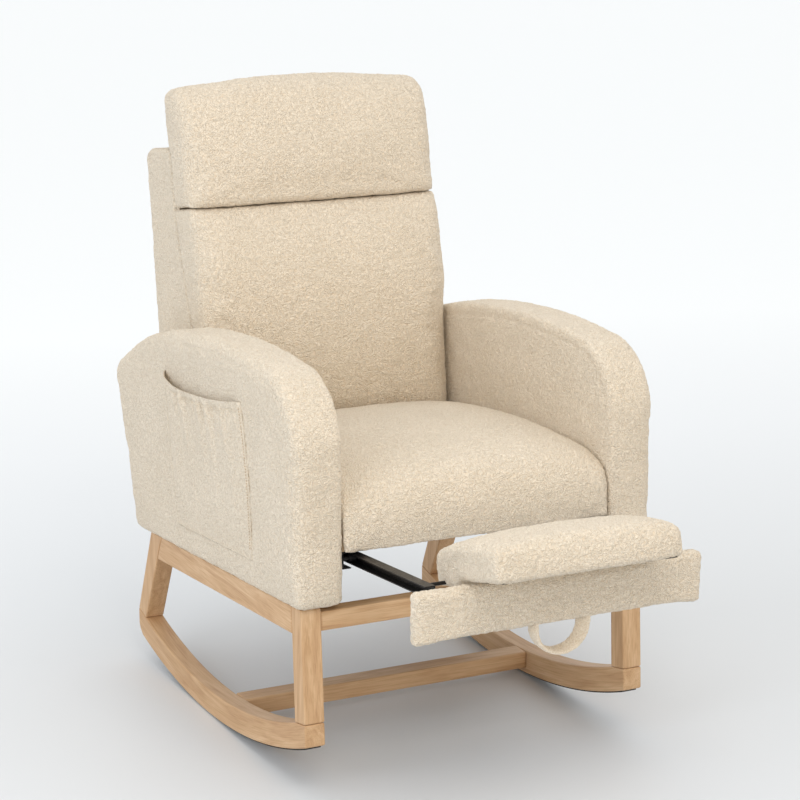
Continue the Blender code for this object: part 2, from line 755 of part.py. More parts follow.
# ---------------------------------------------------------------- sliding footrest
slide = empty("footrest_slide", SEAT_ORIGIN, -SEAT_TILT)
for side, sign in SIDES:
    x_in, x_out = RUNNER_X
    w0, w1 = RUNNER_W
    section = [
        (sign * x_in, w0),
        (sign * x_out, w0),
        (sign * x_out, w0 + SHEET_T),
        (sign * (x_in + SHEET_T), w0 + SHEET_T),
        (sign * (x_in + SHEET_T), w1 - SHEET_T),
        (sign * x_out, w1 - SHEET_T),
        (sign * x_out, w1),
        (sign * x_in, w1),
    ]
    label = f"slide_runner_{side}"
    add(label, swept(label, section, *RUNNER_U, axis="Y"), steel, slide)

    roller_axle = empty(f"rear_roller_axle_{side}", (0.0, REAR_ROLLER_U, ROLLER_W), 0.0, slide)
    profile = [
        (sign * (x_in + SHEET_T + GAP), 0.0030),
        (sign * 0.2215, 0.0030),
        (sign * 0.2215, REAR_ROLLER_R - 0.0010),
        (sign * 0.2225, REAR_ROLLER_R),
        (sign * 0.2305, REAR_ROLLER_R),
        (sign * 0.2315, REAR_ROLLER_R - 0.0010),
    ]
    label = f"rear_roller_{side}"
    add(label, turned(label, profile, 0.0, 0.0), nylon, roller_axle, True)

bar_x = (-RUNNER_X[0] + GAP, RUNNER_X[0] - GAP)
add("slide_crossbar", block("slide_crossbar", bar_x, (0.1360, 0.1560), (-0.0212, -0.0092)), steel, slide)
rod_mesh = turned("rod", [(bar_x[0], ROD_R), (bar_x[1], ROD_R)], ROD_U, ROD_W, PIN_SEGMENTS)
add("footrest_rod", rod_mesh, zinc, slide)

panel = empty("panel_plane", (0.0, 0.0, 0.0))
y0, y1 = PANEL_Y
z0, z1 = PANEL_Z
cover_mesh = block("panel_cover", (-PANEL_X, PANEL_X), PANEL_Y, PANEL_Z)
panel_cover = add("panel_cover", cover_mesh, boucle, panel, True)
bevel(panel_cover, 0.0050, 3)
recess = block(
    "recess",
    (-PANEL_X + PANEL_FOAM, PANEL_X - PANEL_FOAM),
    (y0 + 0.0095, y1 + 0.030),
    (z0 + PANEL_FOAM, z1 - PANEL_FOAM),
)
combine(panel_cover, cutter("panel_recess", recess, panel), "DIFFERENCE")
board_mesh = block(
    "panel_board",
    (-PANEL_X + PANEL_FOAM + GAP, PANEL_X - PANEL_FOAM - GAP),
    (y0 + 0.0095 + GAP, y1 - GAP),
    (z0 + PANEL_FOAM + GAP, z1 - PANEL_FOAM - GAP),
)
add("panel_board", board_mesh, plywood, panel)

strap_top = z0 - GAP
strap_y = (-0.5100, -0.4850)
loop_outline = []
for k in range(21):
    angle = math.pi * k / 20.0
    loop_outline.append((-0.0460 * math.cos(angle), strap_top - 0.0480 * math.sin(angle)))
for k in range(21):
    angle = math.pi * (20 - k) / 20.0
    loop_outline.append((-0.0400 * math.cos(angle), strap_top - 0.0420 * math.sin(angle)))
strap_mesh = swept("pull_strap", loop_outline, *strap_y, axis="Y")
add("pull_strap", strap_mesh, boucle, panel, True)

# ---------------------------------------------------------------- footrest pad
pad = empty("footrest_pad_axis", (0.0, ROD_U, ROD_W), SEAT_TILT - PAD_TILT, slide)
v0, v1 = PAD_V
n0 = PAD_BASE_N
add(
    "footrest_board",
    block("footrest_board", (-0.1480, 0.1480), (v0 + 0.0080, v1 - 0.0080), (n0, n0 + 0.0080)),
    plywood,
    pad,
)
crown = through((v0 + 0.0200, 0.0600), (-0.0740, 0.0700), (v1 - 0.0150, 0.0520), 12)
pad_outline = (
    [(v0, n0), (PAD_SKIRT_BEND_V, n0), (v1, PAD_SKIRT_LOW_N)]
    + rounded([(v1, PAD_SKIRT_LOW_N, 0.0), (v1, 0.0480, 0.016), (v1 - 0.0150, 0.0520, 0.0)], 5)[1:-1]
    + list(reversed(crown))
    + rounded([(v0 + 0.0200, 0.0600, 0.0), (v0, 0.0520, 0.020), (v0, n0, 0.0)], 5)[1:-1]
)
pad_cushion = add(
    "footrest_cushion", swept("footrest_cushion", pad_outline, -PAD_X, PAD_X), boucle, pad, True
)
pad_recess = block(
    "pad_recess",
    (-0.1480 - GAP, 0.1480 + GAP),
    (v0 + 0.0080 - GAP, v1 - 0.0080 + GAP),
    (n0 - 0.0200, n0 + 0.0080 + GAP),
)
combine(pad_cushion, cutter("pad_recess", pad_recess, pad), "DIFFERENCE")
rod_way = turned("rod_way", [(-0.18, SKIRT_HOLE_R), (0.18, SKIRT_HOLE_R)], 0.0, 0.0, PIN_SEGMENTS)
combine(pad_cushion, cutter("rod_way", rod_way, pad), "DIFFERENCE")
for side, sign in SIDES:
    knuckle = [(0.0062 * math.cos(a), 0.0062 * math.sin(a)) for a in
               (math.pi * (1.0 + k / 8.0) for k in range(9))]
    leaf_outline = (
        [(v0 + 0.0080, 0.0033), (-0.0062, 0.0033)]
        + knuckle
        + [(0.0062, 0.0033), (0.0180, 0.0033), (0.0180, n0 - GAP), (v0 + 0.0080, n0 - GAP)]
    )
    label = f"pad_bracket_{side}"
    leaf = add(label, swept(label, leaf_outline, *span(sign, *BRACKET_X)), steel, pad)
    hole = turned(
        "hole", [(sign * 0.11, KNUCKLE_HOLE_R), (sign * 0.16, KNUCKLE_HOLE_R)], 0.0, 0.0, PIN_SEGMENTS
    )
    hole_cutter = cutter(f"knuckle_hole_{side}", hole, pad)
    hole_cutter.rotation_euler = (PAD_TILT - SEAT_TILT, 0.0, 0.0)
    combine(leaf, hole_cutter, "DIFFERENCE")
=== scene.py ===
"""Looks of the rocking recliner armchair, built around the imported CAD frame."""

import math

import bmesh
import bpy
import numpy as np
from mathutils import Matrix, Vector, noise


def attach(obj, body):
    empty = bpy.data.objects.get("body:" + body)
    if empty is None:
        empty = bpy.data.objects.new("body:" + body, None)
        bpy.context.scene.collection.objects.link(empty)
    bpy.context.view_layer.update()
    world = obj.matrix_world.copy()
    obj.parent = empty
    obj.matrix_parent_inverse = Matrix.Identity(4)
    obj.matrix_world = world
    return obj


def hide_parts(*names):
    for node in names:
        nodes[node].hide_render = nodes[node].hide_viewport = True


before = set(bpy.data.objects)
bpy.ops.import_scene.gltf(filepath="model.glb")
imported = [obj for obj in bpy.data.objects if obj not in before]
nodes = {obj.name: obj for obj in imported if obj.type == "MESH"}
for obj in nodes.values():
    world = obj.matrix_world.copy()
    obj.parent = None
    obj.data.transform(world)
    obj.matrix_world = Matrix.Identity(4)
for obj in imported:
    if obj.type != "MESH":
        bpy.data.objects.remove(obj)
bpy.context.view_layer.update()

# -------------------- CAD facts, in metres
SIDES = (("left", -1.0), ("right", 1.0))
# the wooden base's top plane: a place on it, and its fall per metre towards the rear
BASE_Y = -0.2475
BASE_Z = 0.3097
BASE_FALL = 0.0814
# the back frame's front plane: a place on it, and its lean per metre of height
BACK_Y = 0.4680
BACK_Z = 0.6270
BACK_LEAN = 0.1864
BACK_X = 0.2368
# the arms' inner and outer faces
ARM_X_IN = 0.2370
ARM_X_OUT = 0.3175
ARM_MID = (ARM_X_OUT + ARM_X_IN) / 2.0
ARM_HALF = (ARM_X_OUT - ARM_X_IN) / 2.0
# the seat's and the footrest pad's own planes, which fall towards the rear
SEAT_ORIGIN = Vector((0.0, -0.2475, 0.3940))
SEAT_TILT = math.radians(5.0)
SEAT_X = 0.2360
PAD_ORIGIN = Vector((0.0, -0.43003, 0.391414))
PAD_TILT = math.radians(13.8)
PAD_X = 0.1585
ROCKER_CENTRE = (0.1873, 1.1680)


def base_top(y):
    """Height of the wooden base's top plane."""
    return BASE_Z - BASE_FALL * (y - BASE_Y)


def back_front(z, offset=0.0):
    """The y of the back frame's front plane."""
    return BACK_Y + BACK_LEAN * (z - BACK_Z) + offset


def tilted_point(origin, tilt, x, along, up):
    """The place of a point given along and above a tilted plane."""
    y = origin.y + along * math.cos(tilt) + up * math.sin(tilt)
    z = origin.z - along * math.sin(tilt) + up * math.cos(tilt)
    return Vector((x, y, z))


def on_tilted(origin, tilt, co):
    """How far places lie along and above a tilted plane."""
    dy = co[:, 1] - origin.y
    dz = co[:, 2] - origin.z
    along = dy * math.cos(tilt) - dz * math.sin(tilt)
    up = dy * math.sin(tilt) + dz * math.cos(tilt)
    return along, up


def rise(values, start, length):
    """0 up to start, then evenly up to 1 over a length."""
    return np.clip((values - start) / length, 0.0, 1.0)


def fall(values, end, length):
    """1, then evenly down over a length to 0 at end."""
    return np.clip((end - values) / length, 0.0, 1.0)


# -------------------- materials
class Tree:
    """Small helper for building a material's node tree."""

    def __init__(self, name):
        self.mat = bpy.data.materials.new(name)
        self.mat.use_nodes = True
        self.tree = self.mat.node_tree
        self.shader = self.tree.nodes["Principled BSDF"]

    def node(self, kind, **values):
        made = self.tree.nodes.new(kind)
        for key, value in values.items():
            setattr(made, key, value)
        return made

    def link(self, out, into):
        self.tree.links.new(out, into)

    def put(self, node, **values):
        """Sets a node's inputs by name, with _ for a space."""
        for key, value in values.items():
            node.inputs[key.replace("_", " ")].default_value = value

    def math(self, operation, a, b=None, clamp=False):
        made = self.node("ShaderNodeMath", operation=operation, use_clamp=clamp)
        for socket, value in zip(made.inputs, (a, b)):
            if value is None:
                continue
            if isinstance(value, (int, float)):
                socket.default_value = value
            else:
                self.link(value, socket)
        return made.outputs[0]

    def weighted(self, total, *terms):
        """The total plus each (output, weight) term."""
        for out, weight in terms:
            total = self.math("ADD", total, self.math("MULTIPLY", out, weight))
        return total

    def place(self):
        """The shaded point's place on the object."""
        return self.node("ShaderNodeTexCoord").outputs["Object"]

    def split(self, vector):
        """The outputs X, Y and Z of a vector."""
        made = self.node("ShaderNodeSeparateXYZ")
        self.link(vector, made.inputs[0])
        return made.outputs

    def mapped(self, vector, **values):
        """A vector that is scaled or moved."""
        made = self.node("ShaderNodeMapping")
        self.put(made, **values)
        self.link(vector, made.inputs["Vector"])
        return made.outputs["Vector"]

    def noise(self, vector, scale, detail=3.0, roughness=0.5, distortion=0.0):
        made = self.node("ShaderNodeTexNoise")
        self.put(made, Scale=scale, Detail=detail, Roughness=roughness, Distortion=distortion)
        self.link(vector, made.inputs["Vector"])
        return made.outputs

    def ramp(self, factor, *stops):
        """A colour that runs through (position, colour) stops."""
        made = self.node("ShaderNodeValToRGB")
        elements = made.color_ramp.elements
        while len(elements) < len(stops):
            elements.new(0.5)
        for element, (position, colour) in zip(elements, stops):
            element.position = position
            element.color = (*colour, 1.0)
        self.link(factor, made.inputs["Fac"])
        return made.outputs["Color"]

    def multiply(self, a, b, share=1.0):
        """Colour a times colour b, as far as share."""
        made = self.node("ShaderNodeMix", data_type="RGBA", blend_type="MULTIPLY")
        made.inputs[0].default_value = share
        self.link(a, made.inputs[6])
        self.link(b, made.inputs[7])
        return made.outputs[2]

    def colour(self, out):
        self.link(out, self.shader.inputs["Base Color"])

    def bump(self, height, strength, distance):
        made = self.node("ShaderNodeBump")
        self.put(made, Strength=strength, Distance=distance)
        self.link(height, made.inputs["Height"])
        self.link(made.outputs["Normal"], self.shader.inputs["Normal"])


WHITE = (1.0, 1.0, 1.0)
# the boucle's colours, from the tops of its curls down to the painted shade in the gaps between them
LIGHT = (0.960, 0.866, 0.728)
MID = (0.922, 0.815, 0.660)
GAP_SHADE = (0.800, 0.668, 0.505)
# how fine the boucle's patterns are: features per metre
DRIFT_FINE = 9.0
CLUMPS_FINE = 85.0
WARP_FINE = 130.0
CURLS_FINE = 420.0
FUZZ_FINE = 620.0


def boucle(name, scale=1.0, bump=1.0):
    """Looped boucle fabric: small curls, with painted shade darkening the thin gaps between them."""
    t = Tree(name)
    place = t.mapped(t.place())
    warp = t.noise(place, WARP_FINE * scale, 2.0)["Color"]
    shift = t.node("ShaderNodeVectorMath", operation="SCALE")
    t.link(warp, shift.inputs[0])
    t.put(shift, Scale=0.008 / scale)
    moved = t.node("ShaderNodeVectorMath", operation="ADD")
    t.link(place, moved.inputs[0])
    t.link(shift.outputs[0], moved.inputs[1])
    voronoi = t.node("ShaderNodeTexVoronoi", feature="SMOOTH_F1")
    t.put(voronoi, Scale=CURLS_FINE * scale, Smoothness=0.45)
    t.link(moved.outputs[0], voronoi.inputs["Vector"])
    curls = voronoi.outputs["Distance"]
    fuzz = t.noise(moved.outputs[0], FUZZ_FINE * scale, 3.0, 0.65)["Fac"]
    drift = t.noise(place, DRIFT_FINE, 3.0, 0.55)["Fac"]
    clumps = t.noise(place, CLUMPS_FINE * scale, 2.0, 0.5)["Fac"]
    # painted shade: the colour darkens towards the gaps between the curls, where the curl distance is large
    depth = t.math("ADD", t.weighted(0.0, (curls, 0.75), (fuzz, -0.34)), 0.42)
    tone = t.ramp(depth, (0.32, LIGHT), (0.56, MID), (0.86, GAP_SHADE))
    mottle = t.ramp(drift, (0.30, (0.955, 0.95, 0.94)), (0.70, WHITE))
    t.colour(t.multiply(tone, mottle))
    t.put(t.shader, Roughness=0.95, Specular_IOR_Level=0.15)
    t.put(t.shader, Sheen_Weight=0.25, Sheen_Roughness=0.6, Sheen_Tint=(1.0, 0.96, 0.90, 1.0))
    height = t.weighted(0.0, (curls, -0.95), (fuzz, 0.55), (clumps, 0.45))
    t.bump(height, 0.95 * bump, 0.0034 / scale)
    return t.mat


# radius at which the rockers' grain keeps its true length
GRAIN_LENGTH = 1.14
X, Y, Z = range(3)


def round_arc(t, centre):
    """The place across, along and out from an arc about an axis parallel to X."""
    place = t.split(t.place())
    dy = t.math("SUBTRACT", place["Y"], centre[0])
    dz = t.math("SUBTRACT", centre[1], place["Z"])
    along = t.math("MULTIPLY", t.math("ARCTAN2", dy, dz), GRAIN_LENGTH)
    radius = t.math("SQRT", t.math("ADD", t.math("MULTIPLY", dy, dy), t.math("MULTIPLY", dz, dz)))
    joined = t.node("ShaderNodeCombineXYZ")
    t.link(place["X"], joined.inputs["X"])
    t.link(along, joined.inputs["Y"])
    t.link(radius, joined.inputs["Z"])
    return joined.outputs[0]


def stretched(along, share):
    """A scale that draws a pattern out along one axis."""
    return [share if axis == along else 1.0 for axis in range(3)]


def wood(name, along, seed, centre=None):
    """Light oiled hardwood whose grain runs along one axis, or round a rocker's arc."""
    t = Tree(name)
    place = t.place() if centre is None else round_arc(t, centre)
    place = t.mapped(place, Location=(seed * 1.7, seed * 2.3, seed * 0.9))
    figure = t.mapped(place, Scale=stretched(along, 0.10))
    rings = t.noise(figure, 55.0, 4.0, 0.55, 1.2)["Fac"]
    broad = t.noise(figure, 14.0, 2.0, 0.5, 0.4)["Fac"]
    pores = t.noise(t.mapped(place, Scale=stretched(along, 0.02)), 620.0, 3.0, 0.6)["Fac"]
    dark, mid, pale = (0.520, 0.314, 0.166), (0.610, 0.394, 0.217), (0.685, 0.470, 0.280)
    tone = t.ramp(rings, (0.30, dark), (0.50, mid), (0.68, pale))
    wash = t.ramp(broad, (0.32, (0.92, 0.90, 0.87)), (0.66, WHITE))
    flecks = t.ramp(pores, (0.36, (0.80, 0.74, 0.66)), (0.52, WHITE))
    t.colour(t.multiply(t.multiply(tone, wash), flecks, 0.75))
    t.link(t.weighted(0.58, (pores, -0.16)), t.shader.inputs["Roughness"])
    t.put(t.shader, Specular_IOR_Level=0.35)
    t.bump(t.weighted(pores, (rings, 0.5)), 0.25, 0.0006)
    return t.mat


def plywood(name):
    """Birch plywood with a soft grain."""
    t = Tree(name)
    grain = t.noise(t.mapped(t.place(), Scale=(1.0, 0.15, 1.0)), 60.0, 4.0, 0.6, 0.8)["Fac"]
    t.colour(t.ramp(grain, (0.3, (0.47, 0.33, 0.19)), (0.7, (0.66, 0.50, 0.32))))
    t.put(t.shader, Roughness=0.7)
    t.bump(grain, 0.2, 0.0005)
    return t.mat


def metal(name, colour, roughness, metallic, wear):
    """Coated or drawn steel with fine mottling and lighter rubbed marks."""
    t = Tree(name)
    place = t.mapped(t.place())
    fine = t.noise(place, 380.0, 3.0, 0.6)["Fac"]
    broad = t.noise(place, 22.0, 3.0, 0.55)["Fac"]
    t.colour(t.ramp(broad, (0.56, colour), (0.78, wear)))
    t.link(t.weighted(roughness - 0.11, (fine, 0.22)), t.shader.inputs["Roughness"])
    t.put(t.shader, Metallic=metallic)
    t.bump(fine, 0.18, 0.0004)
    return t.mat


def plain(name, colour, second, roughness, scale, bump_distance):
    """Rubber, nylon, thread and black cloth, which also serves as painted shade: a fine-grained dull surface.
    """
    t = Tree(name)
    grain = t.noise(t.mapped(t.place()), scale, 4.0, 0.6)["Fac"]
    t.colour(t.ramp(grain, (0.35, colour), (0.7, second)))
    t.put(t.shader, Roughness=roughness)
    t.bump(grain, 0.5, bump_distance)
    return t.mat


fabric = boucle("boucle_cream")
fabric_fine = boucle("boucle_cream_fine", 1.25, 0.8)
pale_thread = plain("cream_thread", (0.84, 0.74, 0.59), (0.90, 0.81, 0.67), 0.9, 900.0, 0.0004)
thread = plain("seam_thread", (0.60, 0.45, 0.30), (0.70, 0.56, 0.40), 0.9, 900.0, 0.0004)
steel = metal("black_coated_steel", (0.018, 0.017, 0.017), 0.38, 0.55, (0.06, 0.055, 0.05))
zinc = metal("zinc_plated_steel", (0.55, 0.55, 0.57), 0.34, 1.0, (0.68, 0.67, 0.66))
wire = metal("spring_wire", (0.33, 0.32, 0.31), 0.36, 1.0, (0.45, 0.43, 0.41))
rubber = plain("strip_rubber", (0.012, 0.012, 0.012), (0.03, 0.03, 0.031), 0.88, 700.0, 0.0004)
nylon = plain("roller_nylon", (0.02, 0.02, 0.021), (0.035, 0.035, 0.037), 0.5, 500.0, 0.0002)
# dull black cloth: real on the dust cover, and painted shade on the footrest board
black_cloth_and_shade = plain("black_dust_cloth_and_painted_shade", (0.018, 0.018, 0.019), (0.045, 0.044, 0.043), 0.95, 1300.0, 0.0003)
ply = plywood("frame_plywood")

WOODEN_PAIRS = (("front_post", Z, 3.0), ("rear_post", Z, 5.0), ("side_rail", Y, 7.0))
PAIRS = (
    (rubber, ("rocker_strip",)),
    (ply, ("arm_frame", "seat_side_rail", "back_stile")),
    (steel, ("slide_channel", "slide_runner", "recline_bracket", "recline_arm", "pad_bracket")),
    (zinc, ("recline_pin",)),
    (nylon, ("front_roller", "rear_roller")),
)
SINGLES = (
    (ply, ("seat_front_rail", "seat_rear_rail", "back_top_rail", "back_bottom_rail")),
    (fabric, ("panel_board",)),
    # the footrest board is painted black as a painted shadow between the panel and the pad; the dust cover is
    # real black cloth
    (black_cloth_and_shade, ("footrest_board", "dust_cover")),
    (steel, ("slide_crossbar", "footrest_rod")),
    (wire, [f"seat_spring_{number}" for number in range(1, 5)]),
)


def paint(name, material):
    """Gives a CAD node its material."""
    slots = nodes[name].material_slots
    for index in range(len(slots)):
        slots[index].material = material
    if not len(slots):
        nodes[name].data.materials.append(material)


for number, (side, sign) in enumerate(SIDES):
    paint(f"rocker_{side}", wood(f"oak_rocker_{side}", Y, 1.0 + number, ROCKER_CENTRE))
    for name, along, seed in WOODEN_PAIRS:
        paint(f"{name}_{side}", wood(f"oak_{name}_{side}", along, seed + number))
    for material, names in PAIRS:
        for name in names:
            paint(f"{name}_{side}", material)
for number, name in enumerate(("front_rail", "rear_rail", "stretcher")):
    paint(name, wood(f"oak_{name}", X, 11.0 + number))
for material, names in SINGLES:
    for name in names:
        paint(name, material)


# -------------------- curves and loops
def arc3(a, b, c, count):
    """Points on the circle arc from a through b to c."""
    ax, ay = a
    bx, by = b
    cx, cy = c
    d = 2.0 * (ax * (by - cy) + bx * (cy - ay) + cx * (ay - by))
    sa, sb, sc = ax * ax + ay * ay, bx * bx + by * by, cx * cx + cy * cy
    ux = (sa * (by - cy) + sb * (cy - ay) + sc * (ay - by)) / d
    uy = (sa * (cx - bx) + sb * (ax - cx) + sc * (bx - ax)) / d
    radius = math.hypot(ax - ux, ay - uy)
    start = math.atan2(ay - uy, ax - ux)
    turn_ab = (math.atan2(by - uy, bx - ux) - start) % (2.0 * math.pi)
    turn_ac = (math.atan2(cy - uy, cx - ux) - start) % (2.0 * math.pi)
    if turn_ab > turn_ac:
        turn_ac -= 2.0 * math.pi
    angles = [start + turn_ac * i / count for i in range(count + 1)]
    return [(ux + radius * math.cos(q), uy + radius * math.sin(q)) for q in angles]


def lengths_along(points):
    """How far along a row of points each of them lies."""
    return np.concatenate([[0.0], np.cumsum(np.linalg.norm(np.diff(points, axis=0), axis=1))])


def even_steps(points, count, closed):
    """Points at even steps along a row of points."""
    lengths = lengths_along(points)
    wanted = np.linspace(0.0, lengths[-1], count, endpoint=not closed)
    return np.column_stack([np.interp(wanted, lengths, column) for column in points.T])


def spline(points, count, closed=False):
    """A Catmull-Rom curve through points, at even steps along its length."""
    given = np.array(points, float)
    if closed:
        ring = np.vstack([given[-1], given, given[0], given[1]])
    else:
        ring = np.vstack([2 * given[0] - given[1], given, 2 * given[-1] - given[-2]])
    dense = []
    for i in range(1, len(ring) - 2):
        p0, p1, p2, p3 = ring[i - 1], ring[i], ring[i + 1], ring[i + 2]
        bend = 2 * p0 - 5 * p1 + 4 * p2 - p3
        twist = 3 * p1 - p0 - 3 * p2 + p3
        for s in np.linspace(0.0, 1.0, 14, endpoint=False):
            dense.append(0.5 * (2 * p1 + (p2 - p0) * s + bend * s * s + twist * s**3))
    dense.append(ring[-2])
    return even_steps(np.array(dense), count, closed)


def unit(rows):
    """Rows scaled to length 1."""
    return rows / np.linalg.norm(rows, axis=1)[:, None]


def inset_loop(loop, distance):
    """A counter-clockwise closed loop moved inwards."""
    before = loop - np.roll(loop, 1, axis=0)
    after = np.roll(loop, -1, axis=0) - loop
    tangent = unit(unit(before) + unit(after))
    inwards = np.column_stack([-tangent[:, 1], tangent[:, 0]])
    return loop + inwards * np.asarray(distance).reshape(-1, 1)


def outward(loop):
    """Unit normals of a counter-clockwise closed loop."""
    step = unit(np.roll(loop, -1, axis=0) - np.roll(loop, 1, axis=0))
    return np.column_stack([step[:, 1], -step[:, 0]])


def stations(half, radius, count):
    """x values across a piece, close together in its rounded ends."""
    ends = [half - radius + radius * math.sin(q) for q in np.linspace(0.0, math.pi / 2.0, 9)]
    middle = list(np.linspace(-(half - radius), half - radius, count))[1:-1]
    return [-x for x in reversed(ends)] + middle + ends


def rounding(x, half, radius):
    """How far a section is drawn in at x, for a rounded edge of that radius."""
    over = abs(x) - (half - radius)
    if over <= 0.0:
        return 0.0
    return radius - math.sqrt(max(0.0, radius * radius - over * over))


def crowned_loops(half, radius, count, crown_half, edge, middle, under, drawn):
    """x, the section and its rounded form, across a cushion that swells towards its middle.

    drawn is the share of the rounding by which a section's outline is drawn in.
    """
    for x in stations(half, radius, count):
        share = max(0.0, 1.0 - min(1.0, abs(x / crown_half)) ** 3.0) ** 0.85
        loop = np.vstack([edge + (middle - edge) * share, under])[::-1]
        yield x, loop, inset_loop(loop, rounding(x, half, radius) * drawn)


# -------------------- meshes
def tube_faces(first, rings, count):
    """A closed skin over rings of vertices, which are numbered on from first."""
    faces = []
    for start in range(first, first + (rings - 1) * count, count):
        for i in range(count):
            j = (i + 1) % count
            faces.append((start + i, start + j, start + count + j, start + count + i))
    faces.append(tuple(first + i for i in range(count)))
    faces.append(tuple(first + (rings - 1) * count + i for i in range(count)))
    return faces


def link_object(name, mesh):
    item = bpy.data.objects.new(name, mesh)
    bpy.context.scene.collection.objects.link(item)
    return item


def mesh_object(name, verts, faces):
    mesh = bpy.data.meshes.new(name)
    mesh.from_pydata([tuple(map(float, v)) for v in verts], [], faces)
    mesh.update()
    bm = bmesh.new()
    bm.from_mesh(mesh)
    bmesh.ops.recalc_face_normals(bm, faces=bm.faces)
    bm.to_mesh(mesh)
    bm.free()
    for polygon in mesh.polygons:
        polygon.use_smooth = True
    return link_object(name, mesh)


def loft(name, sections, placed=tuple):
    """A closed skin over loops of equal length; placed gives a section point its place."""
    verts = [placed(point) for loop in sections for point in loop]
    return mesh_object(name, verts, tube_faces(0, len(sections), len(sections[0])))


def apply_modifiers(item):
    graph = bpy.context.evaluated_depsgraph_get()
    mesh = bpy.data.meshes.new_from_object(item.evaluated_get(graph))
    old = item.data
    item.modifiers.clear()
    item.data = mesh
    bpy.data.meshes.remove(old)


def vertex_rows(mesh, key):
    """A mesh's vertex coordinates ("co") or normals ("normal"), one row each."""
    flat = np.empty(len(mesh.vertices) * 3, np.float64)
    mesh.vertices.foreach_get(key, flat)
    return flat.reshape(-1, 3)


def set_coordinates(item, co):
    item.data.vertices.foreach_set("co", np.ascontiguousarray(co, np.float64).ravel())
    item.data.update()


def remesh(item, size, passes):
    """Even quads over the whole skin, with the voxel steps smoothed out."""
    modifier = item.modifiers.new("Remesh", "REMESH")
    modifier.mode = "VOXEL"
    modifier.voxel_size = size
    modifier.use_smooth_shade = True
    smooth = item.modifiers.new("Smooth", "SMOOTH")
    smooth.factor = 0.5
    smooth.iterations = passes
    apply_modifiers(item)


CLOTH_FRAMES = 20


def inflate(item, cap, free):
    """Blows the skin up as cloth under pressure, and caps how far a point may go.

    free takes points and returns 0 where the piece rests on something.
    """
    start = vertex_rows(item.data, "co")
    cloth = item.modifiers.new("Cloth", "CLOTH")
    s = cloth.settings
    s.quality = 5
    s.mass = 0.25
    s.tension_stiffness = 12.0
    s.compression_stiffness = 12.0
    s.shear_stiffness = 6.0
    s.bending_stiffness = 0.4
    s.use_pressure = True
    s.uniform_pressure_force = 4.0
    s.shrink_min = -0.02
    s.effector_weights.gravity = 0.0
    cloth.collision_settings.use_collision = False
    cloth.point_cache.frame_start = 1
    cloth.point_cache.frame_end = CLOTH_FRAMES
    scene = bpy.context.scene
    for number in range(1, CLOTH_FRAMES + 1):
        scene.frame_set(number)
    blown = item.evaluated_get(bpy.context.evaluated_depsgraph_get())
    move = vertex_rows(blown.to_mesh(), "co") - start
    blown.to_mesh_clear()
    item.modifiers.clear()
    scene.frame_set(1)
    length = np.linalg.norm(move, axis=1)
    limit = cap * np.tanh(length / cap) / np.maximum(length, 1e-9)
    set_coordinates(item, start + move * (limit * free(start))[:, None])


def subdivide(item, levels=1):
    modifier = item.modifiers.new("Subdivision", "SUBSURF")
    modifier.levels = levels
    modifier.render_levels = levels
    apply_modifiers(item)


def upholster(item, voxel, passes, cap, free):
    """Turns a lofted body into a fine, padded skin."""
    remesh(item, voxel, passes)
    inflate(item, cap, free)
    subdivide(item)


def displace_noise(item, scale, depth, seed):
    """Small lumps of fabric along the normals."""
    co = vertex_rows(item.data, "co")
    offset = Vector((seed * 3.1, seed * 1.7, seed * 5.3))
    values = np.array([noise.noise(Vector(p) * scale + offset) for p in co])
    set_coordinates(item, co + vertex_rows(item.data, "normal") * (values * depth)[:, None])


def groove(item, distance_to, width, depth, facing):
    """Presses a seam in where distance_to(points) is small and facing(normals) is not 0."""
    co = vertex_rows(item.data, "co")
    direction = vertex_rows(item.data, "normal")
    amount = depth * np.exp(-((distance_to(co) / width) ** 2)) * facing(direction)
    set_coordinates(item, co - direction * amount[:, None])


VOXEL = 0.0060
LUMP_SCALE = 38.0
LUMP_DEPTH = 0.0010
FUZZ_SCALE = 210.0
FUZZ_DEPTH = 0.0011


def curl(item, seed):
    """The boucle's larger curls as real bumps, over softer unevenness."""
    displace_noise(item, LUMP_SCALE, LUMP_DEPTH, seed)
    displace_noise(item, FUZZ_SCALE, FUZZ_DEPTH, seed + 0.5)


def finish_fabric(item, body, replaced, material=fabric):
    """Makes a skin part of the model."""
    item.data.materials.clear()
    item.data.materials.append(material)
    for polygon in item.data.polygons:
        polygon.use_smooth = True
    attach(item, body)
    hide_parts(replaced)


# -------------------- seat cushion
# (along, above) points of its top from the front's foot to the rear, at a side and in the middle
SEAT_EDGE = [
    (0.0020, -0.0022), (0.0000, 0.0120), (0.0000, 0.0350), (0.0004, 0.0560),
    (0.0060, 0.0745), (0.0250, 0.0890), (0.0560, 0.1010), (0.1050, 0.1090),
    (0.1880, 0.1170), (0.2750, 0.1200), (0.3650, 0.1200), (0.4600, 0.1165),
    (0.5300, 0.1120), (0.5450, 0.1000), (0.5475, 0.0780), (0.5450, 0.0600),
]
SEAT_MIDDLE = [
    (0.0020, -0.0022), (-0.0030, 0.0150), (-0.0070, 0.0400), (-0.0060, 0.0680),
    (0.0040, 0.0930), (0.0270, 0.1130), (0.0620, 0.1260), (0.1120, 0.1360),
    (0.1900, 0.1440), (0.2750, 0.1465), (0.3650, 0.1450), (0.4600, 0.1370),
    (0.5250, 0.1265), (0.5430, 0.1100), (0.5475, 0.0850), (0.5450, 0.0600),
]
SEAT_APRON_BACK = [(0.0135, 0.0580), (0.0130, 0.0400), (0.0130, 0.0150), (0.0110, -0.0022)]
SEAT_UNDERSIDE = 0.0590
SEAT_HALF = SEAT_X + 0.0026
SEAT_ROUND = 0.007


